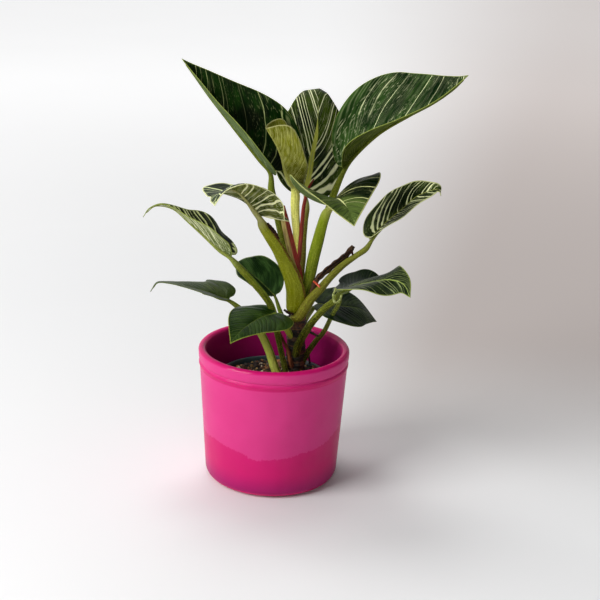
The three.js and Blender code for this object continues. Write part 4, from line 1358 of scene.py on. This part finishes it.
@dataclass(frozen=True)
class Sheath:
    """A cupped strip that a leaf came out of: red while fresh, brown and brittle when dry."""

    route: Route
    width: tuple[float, ...]
    node: str
    kind: SheathKind
    cup: float
    middle: Tint
    side: Tint
    seed: float
    wall: float = 0.45
    rings_each: int = 9
    sides: int = 28

    def build(self) -> list[Object]:
        """Makes the strip.

        Returns:
            The one object.
        """
        rings, sides = len(self.route) * self.rings_each, self.sides
        path = Travel.along(self.route, rings)
        half = np.maximum(curve(self.width, rings)[:, 0] / 2, 0.25)
        if self.kind is SheathKind.DRY:
            half = half * (1 + 0.12 * np.sin(path.share * 41 + self.seed))
        half, angle = half[:, None], circle(sides)
        x = np.cos(angle)
        bulge = self.cup * half * (1 - x**2) + np.minimum(self.wall, 0.5 * half) * np.sin(angle)
        shell = loft(path.ringed(half * x, -bulge)[:, ::-1], path.centre[0], path.centre[-1])
        share = np.concatenate([[0.0], np.repeat(path.share, sides), [1.0]])
        around = np.concatenate([[0.5], np.tile(x[::-1] * 0.5 + 0.5, rings), [0.5]])
        shell.marks["run"] = np.stack([share, around, share * 90], 1)
        return [shell.piece(self.node.replace("sheath", "cataphyll"), self.finish())]

    def finish(self) -> Material:
        """Makes the strip's material, with a paler or redder edge.

        Returns:
            The material.
        """
        bench = FinishBench(self.node.replace("_", " "))
        run = bench.mark("run")
        grain = bench.use(grain_group(), run=run, seed=self.seed, fibres=6.0)
        colour = bench.blend(run.parts()[1].rise(0.42, 0.62), self.side, self.middle)
        dark = bench.blend(1.0, colour, (120, 96, 84), "MULTIPLY")
        fibres = (grain["fibre"] * 0.25, (190, 150, 110))
        colour = bench.layers(colour, (grain["mottle"] * 0.6, dark), fibres)
        rough = grain["fibre"] * 0.14 + (0.36 if self.kind is SheathKind.RED else 0.62)
        return bench.end(colour, rough, grain["height"], 0.0006, Specular_IOR_Level=0.12)


SHEATHS = (
    Sheath(
        ((21, 15, 160), (20, 12, 178), (19, 8, 200), (20, 6, 211), (21, 4, 228),
         (22, 3, 247), (23, 3, 261), (26, 4, 275), (31, 5, 285)),
        (4, 4.4, 4.2, 4, 3.8, 3.6, 3.4, 2.8, 1.2),
        node="sheath_right", kind=SheathKind.RED, cup=0.35, middle=(132, 0, 24),
        side=(156, 10, 36), seed=3.0,
    ),
    Sheath(
        ((21, 16, 160), (22, 9, 179), (19, 6, 199), (15, 5, 212), (11, 3, 228),
         (6, 1, 249), (5, 0, 261)),
        (6, 7, 8, 8.4, 8.4, 7, 2),
        node="sheath_left", kind=SheathKind.RED, cup=0.3, middle=(150, 2, 28),
        side=(206, 186, 110), seed=8.0,
    ),
    Sheath(
        ((33, 4, 178), (37, 3, 191), (45, 2, 200), (55, 2, 209), (62, 2, 215), (69, 2, 225)),
        (4.6, 5.4, 5.8, 6, 6, 4.4),
        node="sheath_dry_upper", kind=SheathKind.DRY, cup=0.4, middle=(16, 7, 4),
        side=(40, 20, 11), seed=14.0,
    ),
    Sheath(
        ((19, 15, 98), (16, 10, 106), (13, 9, 119), (8, 9, 129), (3, 8, 141)),
        (4, 4, 3.6, 3, 1.4),
        node="sheath_dry_lower", kind=SheathKind.DRY, cup=0.4, middle=(104, 42, 18),
        side=(150, 78, 42), seed=21.0,
    ),
)  # fmt: skip


@dataclass(frozen=True)
class Scrap:
    """A small bit by the crown: a dry remnant, the stub of a root or a rolled fold."""

    route: Route
    width: tuple[float, ...]
    name: str
    node: str
    flat: float
    dark: Tint = (12, 7, 5)
    light: Tint = (62, 30, 16)
    rough: float = 0.7
    rings_each: int = 8
    sides: int = 14

    def build(self) -> list[Object]:
        """Makes the bit.

        Returns:
            The one object.
        """
        rings = len(self.route) * self.rings_each
        path = Travel.along(self.route, rings)
        half = np.maximum(curve(self.width, rings)[:, 0] / 2, 0.2)
        half = half * (1 + 0.1 * np.sin(path.share * 37))
        shell = stalk(path, half, half * self.flat, self.sides)
        return [shell.piece(self.name, self.finish())]

    def finish(self) -> Material:
        """Makes the bit's mottled, fibrous material.

        Returns:
            The material.
        """
        bench = FinishBench(self.name.replace("_", " "))
        grain = bench.use(grain_group(), run=bench.mark("run"), seed=6.0, fibres=3.0)
        mottle = bench.noise(bench.place(), 500.0, 3.0).rise(0.42, 0.6)
        fibres = (grain["fibre"] * 0.35, self.dark)
        colour = bench.layers(self.dark, (mottle, self.light), fibres)
        rough, height = mottle * 0.12 + self.rough, grain["height"]
        return bench.end(colour, rough, height, 0.0006, Specular_IOR_Level=0.15)


SCRAPS = (
    Scrap(
        ((-9, -10, 247), (-6, -10, 243), (-2, -9, 238), (2, -8, 232)), (1.6, 3.4, 3.2, 1),
        name="dry_edge", node="leaf_front_left", flat=0.5,
    ),
    Scrap(
        ((34, -3, 192), (36, -5, 191), (38, -7, 190), (40, -8, 188)), (1.6, 2, 2.2, 1.6),
        name="root_tip", node="leaf_right_mid", flat=0.8, dark=(196, 70, 40),
        light=(236, 120, 90), rough=0.45,
    ),
    Scrap(
        ((38, 1, 193), (46, 0, 203), (55, -1, 211), (62, -1, 217), (67, -1, 221),
         (69, -1, 216)),
        (1.4, 2, 2.2, 2.4, 2.4, 1.4),
        name="dry_strand", node="sheath_dry_upper", flat=0.5,
    ),
    Scrap(
        ((54, -24, 193), (52, -26, 186), (54, -26, 180), (58, -25, 182), (60, -24, 189),
         (64, -27, 193)),
        (1.8, 2, 2.2, 2, 1.8, 1.4),
        name="fold_near", node="leaf_right_low", flat=0.8, dark=(120, 132, 60),
        light=(176, 182, 120), rough=0.5,
    ),
    Scrap(
        ((8, 7, 160), (12, 5, 158), (17, 4, 157)), (2, 2.6, 2),
        name="knot_left", node="leaf_front_left", flat=0.8,
    ),
    Scrap(
        ((25, 3, 170), (28, 2, 166), (29, 1, 161)), (1.4, 2.4, 1.6),
        name="knot_right", node="leaf_right_mid", flat=0.7,
    ),
)  # fmt: skip


# --- Stem ---


@dataclass(frozen=True)
class Stem:
    """The stem with its ringed leaf scars, and the short roots that leave it in the air."""

    route: Route = (
        (18, 21, 60), (19, 21, 80), (20, 20, 99), (20, 18, 121), (20, 17, 142),
        (21, 17, 155), (22, 17, 163),
    )  # fmt: skip
    width: tuple[float, ...] = (9, 15, 17, 17, 17, 16, 12)
    scar_spacing: float = 8.5
    scar_height: float = 0.8
    roots: tuple[tuple[Route, tuple[float, ...]], ...] = (
        (((22, 16, 138), (29, 13, 138), (35, 12, 136), (41, 12, 133)), (3.2, 2.8, 2.4, 2)),
        (((22, 20, 118), (28, 25, 115), (32, 29, 108), (34, 31, 98)), (3, 2.6, 2.2, 1.8)),
        (((18, 20, 148), (12, 25, 147), (8, 28, 143)), (3, 2.6, 1.8)),
    )
    rings: int = 190
    sides: int = 40
    root_rings_each: int = 8
    root_sides: int = 14

    def build(self) -> list[Object]:
        """Makes the stem and its roots as one object.

        Returns:
            The one object.
        """
        path = Travel.along(self.route, self.rings)
        centre = path.centre
        phase = (centre[:, 2] / self.scar_spacing) % 1
        scar = np.exp(-(((phase - 0.2) / 0.13) ** 2))
        sink = np.exp(-(((phase - 0.45) / 0.08) ** 2))
        half = curve(self.width, self.rings)[:, 0] / 2 + self.scar_height * scar - 0.35 * sink
        shell = stalk(path, half, half, self.sides)
        knots = shell.points
        x, y, z = knots.T
        lumps = np.sin(x * 1.1 + z * 0.63) * np.sin(y * 1.3)
        middle = np.stack([np.interp(z, centre[:, 2], centre[:, k]) for k in (0, 1)], 1)
        knots[:, :2] += unit(knots[:, :2] - middle) * (0.3 * lumps)[:, None]
        for route, width in self.roots:
            count = len(route) * self.root_rings_each
            half = curve(width, count)[:, 0] / 2
            root = stalk(Travel.along(route, count), half, half, self.root_sides)
            shell = shell.joined(root)
        return [shell.piece("stem_with_roots", self.finish())]

    def finish(self) -> Material:
        """Makes the dark ringed bark, mottled with green.

        Returns:
            The material.
        """
        bench = FinishBench("stem bark")
        place = bench.place()
        grain = bench.use(grain_group(), run=bench.mark("run"), seed=4.0, fibres=7.0)
        phase = bench.math("FRACT", place.parts()[2] * (1 / MM / self.scar_spacing))
        colour = bench.layers(
            (30, 24, 20),
            (bench.noise(place, 160.0, 4.0, 0.6).rise(0.46, 0.62), (112, 72, 46)),
            (bench.noise(place, 60.0).rise(0.5, 0.62) * 0.7, (36, 50, 24)),
            (phase.rise(0.38, 0.46) * phase.rise(0.5, 0.62, 1.0, 0.0) * 0.55, (150, 112, 74)),
            (grain["fibre"] * 0.3, (20, 14, 12)),
        )
        height = grain["height"] + bench.noise(place, 900.0, 3.0)
        return bench.end(colour, grain["mottle"] * 0.2 + 0.6, height, 0.0009)


# --- Pots and potting mix ---


def arc(x: float, y: float, radius: float, start: float, end: float, count: int) -> list[Pair]:
    """Gives points on an arc round (x, y), between two angles in degrees."""
    angles = np.radians(np.linspace(start, end, count))
    return list(zip(x + radius * np.cos(angles), y + radius * np.sin(angles)))


@dataclass(frozen=True)
class CoverPot:
    """The round glazed pot with its rolled rim, groove and bead."""

    base_radius: float = 53.4
    corner_radius: float = 9
    shoulder_radius: float = 68.6
    shoulder_height: float = 110.5
    rim_radius: float = 70
    crest_height: float = 127
    lip_radius: float = 3.6
    floor: float = 7
    # Height and rise towards the sides of the edge of the painted reflection round the base.
    reflection_line_height: float = 43
    reflection_line_rise: float = 11
    segments: int = 176

    def profile(self) -> list[Pair]:
        """Gives the wall's outline, from the axis under the foot to the axis on the floor.

        Returns:
            Radius and height pairs.
        """
        base, corner, lip = self.base_radius, self.corner_radius, self.lip_radius
        shoulder, high, rim = self.shoulder_radius, self.shoulder_height, self.rim_radius
        return [
            (0, 0), (base - 4, 0), *arc(base, corner, corner, -90, 0, 7), (65.2, 55),
            (shoulder - 0.2, high - 4), (shoulder, high - 0.4), (shoulder + 0.7, high + 0.4),
            (shoulder + 0.95, high + 1.8), (shoulder + 0.75, high + 3.2),
            (shoulder - 0.4, high + 3.9), (shoulder - 0.45, high + 4.9),
            (shoulder + 0.75, high + 5.6), (rim - 0.3, high + 8),
            (rim - 0.2, self.crest_height - 6),
            *arc(rim - lip, self.crest_height - lip, lip, 0, 180, 9),
            (61.9, 116), (61.2, 110), (58.4, 62), (55.6, 18), (53, 9.5), (46, self.floor),
            (0, self.floor),
        ]  # fmt: skip

    def build(self) -> list[Object]:
        """Makes the pot as one object."""
        shell = turned(softened(self.profile(), 2), self.segments)
        return [shell.piece("cover_pot", self.finish())]

    def finish(self) -> Material:
        """Makes the glaze: a magenta all over, paled by a painted reflection of bright
        surroundings; a deeper painted reflection of dark surroundings round the base, on the lip
        and on the bead; painted shade inside; and a bare foot.

        Returns:
            The material.
        """
        bench = FinishBench("pot glaze")
        place = bench.place()
        x, y, height = place.parts()
        drift = bench.noise(bench.pack(x, y), 22.0, 1.0)
        ragged = bench.noise(bench.pack(x, y, height * 0.4), 330.0, 4.0, 0.75)
        # Painted reflection: below a ragged line that rises towards the left and right, the glaze
        # is painted deeper, standing in for a dark surface reflected round the base.
        aside = x * (1 / MM / self.shoulder_radius)
        reflection_edge = aside * aside * (self.reflection_line_rise * MM) + drift * 0.02 + ragged * 0.009
        reflection_edge = reflection_edge + (self.reflection_line_height * MM - 0.0145)
        below = (height - reflection_edge).rise(-0.0005, 0.0005, 1.0, 0.0)
        cloud = bench.noise(place, 30.0, 3.0).rise(0.35, 0.65) * 0.35
        # The glaze's own magenta, paled in part by a painted reflection of bright surroundings.
        glaze_and_pale_reflection = bench.blend(cloud, (210, 48, 126), (200, 39, 116))
        painted_reflection_tint = bench.blend(cloud, (202, 0, 103), (188, 0, 94))
        # Painted reflection: the lip's rounded top and a band round the bead take the same deeper
        # colour.
        lip = height.rise((self.crest_height - 3.2) * MM, (self.crest_height - 1.4) * MM)
        groove = abs(height - (self.shoulder_height + 0.6) * MM).rise(0.0018, 0.0032, 1.0, 0.0)
        painted_rim_reflection = bench.math("MAXIMUM", lip, groove)
        # Painted shade: the inside of the pot is painted a darker purple.
        inner = bench.away(x, y).rise(0.062, 0.0635, 1.0, 0.0) * height.rise(0.004, 0.006)
        bare = height.rise(0.0002, 0.0007, 1.0, 0.0)
        clay = bench.blend(bench.noise(place, 700.0, 3.0), (206, 192, 172), (176, 160, 140))
        painted_reflection_and_shade = ((below, painted_reflection_tint), (painted_rim_reflection, painted_reflection_tint), (inner, (160, 0, 96)))
        colour, rough = bench.layers(glaze_and_pale_reflection, *painted_reflection_and_shade, (bare, clay)), (1.0 - bare) * 0.75
        gloss = {"Coat_Weight": 0.36, "Coat_Roughness": 0.03, "Specular_IOR_Level": 0.15}
        return bench.end(colour, rough, bench.noise(place, 45.0, 1.0), 0.0012, **gloss)


@dataclass(frozen=True)
class NurseryPot:
    """The thin plastic pot that the plant grows in, with drain holes in its floor."""

    bottom: float = 7.35
    floor: float = 1.5
    low_radius: float = 38
    high_radius: float = 49.2
    rim_radius: float = 52
    rim_bottom: float = 90.5
    rim_top: float = 97.6
    wall: float = 1.3
    holes: int = 6
    hole_radius: float = 3.5
    hole_circle: float = 25
    segments: int = 120

    def build(self) -> list[Object]:
        """Makes the pot and drills its floor.

        Returns:
            The one object.
        """
        low, high, rim = self.low_radius, self.high_radius, self.rim_radius
        bottom, under, top, wall = self.bottom, self.rim_bottom, self.rim_top, self.wall
        inside = bottom + self.floor
        profile = [
            (0, bottom), (low - 1, bottom), (low, bottom + 1.2), (high, under),
            (rim - 0.3, under + 0.4), (rim, under + 1.2), (rim, top - 1), (rim - 0.6, top - 0.1),
            (rim - 2.6, top - 0.1), (rim - 3.2, top - 0.9), (high - wall, under - 1),
            (low - wall, inside + 0.9), (low - wall - 0.9, inside), (0, inside),
        ]  # fmt: skip
        pot = turned(softened(profile, 1), self.segments).piece("grow_pot", self.finish())
        drill = np.array([(0, 0), (self.hole_radius, 0), (self.hole_radius, 6), (0, 6)], float)
        for k in range(self.holes):
            angle = TURN * (k + 0.5) / self.holes
            bore = turned(drill, 24)
            x, y = self.hole_circle * math.cos(angle), self.hole_circle * math.sin(angle)
            bore.points += np.array([x, y, bottom - 2])
            tool = bore.piece(f"drill_{k}")
            cut = pot.modifiers.new("drain hole", "BOOLEAN")
            cut.operation, cut.solver, cut.object = "DIFFERENCE", "EXACT", tool
            plain(pot)
            bpy.data.objects.remove(tool)
        return [pot]

    def finish(self) -> Material:
        """Makes the dark satin plastic, dusty near its rim.

        Returns:
            The material.
        """
        bench = FinishBench("nursery plastic")
        place = bench.place()
        dust = bench.noise(place, 120.0, 4.0).rise(0.46, 0.66) * 0.5
        dust = dust * place.parts()[2].rise(0.088, 0.097)
        cloud = (bench.noise(place, 40.0), (44, 64, 70))
        colour = bench.layers((30, 48, 54), cloud, (dust, (98, 86, 72)))
        return bench.end(colour, dust * 0.5 + 0.4, bench.noise(place, 1500.0), 0.0002)


@dataclass(frozen=True)
class PottingMix:
    """The mound of potting mix and the grit strewn over it."""

    edge_height: float = 92.6
    mound: float = 4.6
    mound_width: float = 17
    lump: float = 0.7
    radius: float = 47.2
    low_radius: float = 35.8
    bottom: float = 9.6
    stem: Pair = (20, 20)
    segments: int = 150
    rings: int = 62
    crumbs: int = 1000
    crumb_size: Pair = (0.8, 2)
    stones: int = 220
    stone_size: Pair = (1.7, 3.8)
    seed: int = 7

    def height(self, x: np.ndarray, y: np.ndarray) -> np.ndarray:
        """Gives the height of the surface.

        Args:
            x: Places along X.
            y: Places along Y.

        Returns:
            The heights.
        """
        away = np.hypot(x - self.stem[0], y - self.stem[1])
        lumps = np.sin(x * 0.47 + 1.3) * np.cos(y * 0.53) + 0.6 * np.sin(x * 0.9 - y * 0.7 + 0.4)
        fine = np.sin(x * 2.3 + 0.7) * np.sin(y * 2.1 - x * 0.6) + np.sin(x * 4.1 - y * 3.3)
        mound = self.mound * np.exp(-((away / self.mound_width) ** 2))
        return self.edge_height + mound + self.lump * lumps + 0.22 * fine

    def build(self) -> list[Object]:
        """Makes the mix and its grit.

        Returns:
            Both objects.
        """
        angle = circle(self.segments)
        x, y = np.cos(angle), np.sin(angle)
        low, high, bottom = self.low_radius, self.radius, self.bottom
        levels = ((low - 1, bottom), (low, bottom + 1), (high, 89.5))
        rings = [np.stack([r * x, r * y, np.full(len(x), z)], 1) for r, z in levels]
        for r in np.linspace(high, 0.7, self.rings):
            rings.append(np.stack([r * x, r * y, self.height(r * x, r * y)], 1))
        top = float(self.height(np.array(0.0), np.array(0.0)))
        shell = loft(np.array(rings), np.array([0, 0, bottom]), np.array([0, 0, top]))
        ground = shell.piece("potting_mix", self.finish())
        return [ground, self.grit(ground)]

    def grit(self, ground: Object) -> Object:
        """Strews crumbs and small stones over the surface with Geometry Nodes.

        Args:
            ground: The mix.

        Returns:
            The grit as one plain mesh.
        """
        sizes = {"Crumbs": self.crumbs, "Stones": self.stones, "Seed": self.seed}
        geometry = {"Geometry": "Geometry"}
        bench = GroupBench("strewn grit", geometry | dict.fromkeys(sizes, "Int"), geometry)
        give = bench.given
        up = bench.get("GeometryNodeInputNormal").parts()[2] > 0.3
        area = math.pi * (self.radius * MM) ** 2
        join = bench.add("GeometryNodeJoinGeometry")

        def draw(low: Value, high: Value, seed: int) -> Wire:
            """Draws a random number or vector for each point.

            Args:
                low: Its lowest value.
                high: Its highest value.
                seed: The seed.

            Returns:
                The value.
            """
            first, kind = (0, "FLOAT_VECTOR") if isinstance(low, tuple) else (2, "FLOAT")
            into = {first: low, first + 1: high, "Seed": seed}
            return bench.get("FunctionNodeRandomValue", into=into, out=first // 2, data_type=kind)

        kinds = (("Crumbs", self.crumb_size, 1), ("Stones", self.stone_size, 2))
        for order, (name, (low, high), detail) in enumerate(kinds):
            into = {
                "Mesh": give["Geometry"],
                "Selection": up,
                "Density": give[name] / area,
                "Seed": give["Seed"] + float(order * 13),
            }
            points = bench.get("GeometryNodeDistributePointsOnFaces", into=into)
            into = {"Radius": 1.0, "Subdivisions": detail}
            grain = bench.get("GeometryNodeMeshIcoSphere", into=into)
            dents = bench.get("ShaderNodeTexNoise", into={"Scale": 1.6}, out="Color")
            middle = (0.5, 0.5, 0.5)
            dents = bench.get("ShaderNodeVectorMath", dents, middle, operation="SUBTRACT")
            into = {"Geometry": grain, "Offset": dents}
            grain = bench.get("GeometryNodeSetPosition", into=into)
            into = {
                0: draw((0.7, 0.55, 0.5), (1.5, 1.1, 0.95), 7 + order),
                "Scale": draw(low * MM, high * MM, 5 + order),
            }
            into = {
                "Points": points,
                "Instance": grain,
                "Rotation": draw((0, 0, 0), (6.28, 6.28, 6.28), 3 + order),
                "Scale": bench.get("ShaderNodeVectorMath", into=into, operation="SCALE"),
            }
            grains = bench.get("GeometryNodeInstanceOnPoints", into=into)
            tone = draw((0, 0, 0), (1, 1, 1), 9 + order)
            kept = bench.get(
                "GeometryNodeStoreNamedAttribute",
                into={"Geometry": grains, "Name": "tone", "Value": tone},
                data_type="FLOAT_VECTOR",
                domain="INSTANCE",
            )
            bench.feed(join.inputs[0], kept)
        whole = bench.get("GeometryNodeRealizeInstances", Wire(bench, join.outputs[0]))
        into = {"Geometry": whole, "Material": self.grit_finish()}
        made = linked("grit", ground.data.copy())
        strewn = made.modifiers.new("grit", "NODES")
        strewn.node_group = bench.end(Geometry=bench.get("GeometryNodeSetMaterial", into=into))
        for name, value in sizes.items():
            strewn[bench.keys[name]] = value
        plain(made)
        return made

    def finish(self) -> Material:
        """Makes the moist, fibrous dark mix.

        Returns:
            The material.
        """
        bench = FinishBench("potting mix")
        place = bench.place()
        fine, coarse = bench.noise(place, 900.0, 5.0, 0.7), bench.noise(place, 260.0, 3.0, 0.6)
        crumbs = (fine.rise(0.4, 0.62), (44, 29, 18))
        fibres = (coarse.rise(0.56, 0.7) * 0.5, (84, 56, 34))
        colour = bench.layers((14, 9, 6), crumbs, fibres)
        return bench.end(colour, fine * 0.3 + 0.7, fine + coarse, 0.0022)

    def grit_finish(self) -> Material:
        """Makes the grit: each grain bark brown, tan, ochre, grey or nearly white.

        Returns:
            The material.
        """
        bench = FinishBench("grit")
        kind, shade, _ = bench.mark("tone").parts()
        colour = bench.layers(
            (44, 28, 20),
            (kind > 0.42, (104, 62, 36)),
            (kind > 0.6, (164, 108, 62)),
            (kind > 0.76, (92, 84, 74)),
            (kind > 0.84, (188, 150, 92)),
            (kind > 0.95, (222, 206, 176)),
        )
        dark = bench.blend(1.0, colour, (110, 96, 88), "MULTIPLY")
        fine = bench.noise(bench.place(), 1800.0, 4.0, 0.7)
        specks = (fine.rise(0.5, 0.66) * 0.4, (30, 20, 14))
        colour = bench.layers(colour, (shade * 0.7, dark), specks)
        return bench.end(colour, fine * 0.3 + 0.62, fine, 0.0006)


# --- Studio ---


@dataclass(frozen=True)
class Studio:
    """A pale floor, soft light from the left and the camera."""

    distance: float = 1205
    lens: float = 78
    tilt: float = 18.7
    roll: float = 2.0
    aim: Pair = (-23.9, -42.2)
    aim_height: float = 127
    dim_air: float = 0.1
    pale_air: float = 1.0
    lights: tuple[tuple[str, Point, float, float], ...] = (
        ("window", (-1.45, -0.95, 1.3), 1.2, 40.0),
        ("top", (-0.2, 0.5, 1.9), 0.55, 10.0),
        ("front", (0.1, -2.2, 1.0), 1.4, 7.0),
    )

    def build(self) -> None:
        """Makes the floor, the lights, the air and the camera."""
        self.lay_floor()
        self.hang_lights()
        self.set_camera()

    def lay_floor(self) -> None:
        """Lays a pale floor, with painted shade that darkens it to the right behind the pot, and a
        painted glow that brightens it with distance.
        """
        bench = FinishBench("studio floor")
        place = bench.place()
        x, y, _ = place.parts()
        pale = bench.blend(bench.noise(place, 3.0), (231, 231, 231), (234, 234, 234))
        # Painted shade: to the right, from the pot backwards, the floor is painted darker and
        # warmer, fading a little far back.
        shade = (x / (y * 0.25 + 0.12)).rise(0.0, 1.0) * y.rise(-0.12, 0.42)
        colour = bench.blend(shade * y.rise(0.8, 4.0, 1.0, 0.72), pale, (187, 178, 174))
        # Painted glow: the floor gives off its own colour, more strongly further from the pot.
        strength = bench.away(x, y).rise(0.0, 2.5, 0.0, 0.74)
        glow = {"Emission_Color": colour, "Emission_Strength": strength}
        mesh = bpy.data.meshes.new("floor")
        corners = [(-14, -14, 0), (14, -14, 0), (14, 14, 0), (-14, 14, 0)]
        mesh.from_pydata(corners, [], [(0, 1, 2, 3)])
        mesh.materials.append(bench.end(colour, 0.75, Specular_IOR_Level=0.2, **glow))
        floor = linked("floor", mesh)

    def hang_lights(self) -> None:
        """Hangs a wide soft light on the left and weaker ones above and in front, in pale air."""
        world = bpy.data.worlds.new("pale air")
        world.use_nodes = True
        bench = Bench(world.node_tree)
        air = world.node_tree.nodes["Background"]
        x, y, _ = bench.get("ShaderNodeTexCoord", out="Generated").parts()
        strength = (x * -0.5 + y * 0.75).rise(-0.15, 0.95, self.dim_air, self.pale_air)
        bench.feed(air.inputs["Strength"], strength)
        air.inputs["Color"].default_value = (0.95, 0.955, 0.97, 1)
        bpy.context.scene.world = world
        for name, spot, size, power in self.lights:
            light = bpy.data.lights.new(name, "AREA")
            light.shape, light.size, light.energy = "SQUARE", size, power
            facing = (Vector((0.0, 0.0, 0.2)) - Vector(spot)).to_track_quat("-Z", "Y")
            linked(name, light).matrix_world = Matrix.LocRotScale(Vector(spot), facing, None)

    def set_camera(self) -> None:
        """Places the camera in front, looking a little down and rolled a little."""
        tilt, roll = math.radians(self.tilt), math.radians(self.roll)
        forward = Vector((0, math.cos(tilt), -math.sin(tilt)))
        right, up = Vector((1, 0, 0)), Vector((0, math.sin(tilt), math.cos(tilt)))
        over = math.cos(roll) * right + math.sin(roll) * up
        above = -math.sin(roll) * right + math.cos(roll) * up
        where = Vector((0, 0, self.aim_height)) - self.distance * forward
        where -= self.aim[0] * over + self.aim[1] * above
        data = bpy.data.cameras.new("camera")
        data.lens, data.sensor_width = self.lens, 36
        data.clip_start, data.clip_end = 0.02, 60
        camera = linked("camera", data)
        turn = Matrix((over, above, -forward)).transposed().to_4x4()
        camera.matrix_world = Matrix.Translation(where * MM) @ turn
        bpy.context.scene.camera = camera
        bpy.context.scene.view_settings.view_transform = "Standard"


# --- Assembly ---


def main() -> None:
    """Builds every piece in order."""
    logging.basicConfig(level=logging.INFO, format="%(name)s: %(message)s")
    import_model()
    Studio().build()
    parts = [
        (CoverPot(), "pot", "glazed_pot"),
        (NurseryPot(), "nursery_pot", "nursery_plastic"),
        (PottingMix(), "soil", "soil"),
        (Stem(), "stem", "stem"),
        *((sheath, sheath.node, sheath.kind.value) for sheath in SHEATHS),
        *((leaf, leaf.node, leaf.slot) for leaf in LEAVES),
        *((scrap, scrap.node, SheathKind.DRY.value) for scrap in SCRAPS),
    ]
    for part, node, slot in parts:
        for piece in part.build():
            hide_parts(node)
            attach(piece, BODY)
            LOG.info("%s stands for %s: %d faces", piece.name, node, len(piece.data.polygons))
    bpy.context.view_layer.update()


if __name__ == "__main__":
    main()
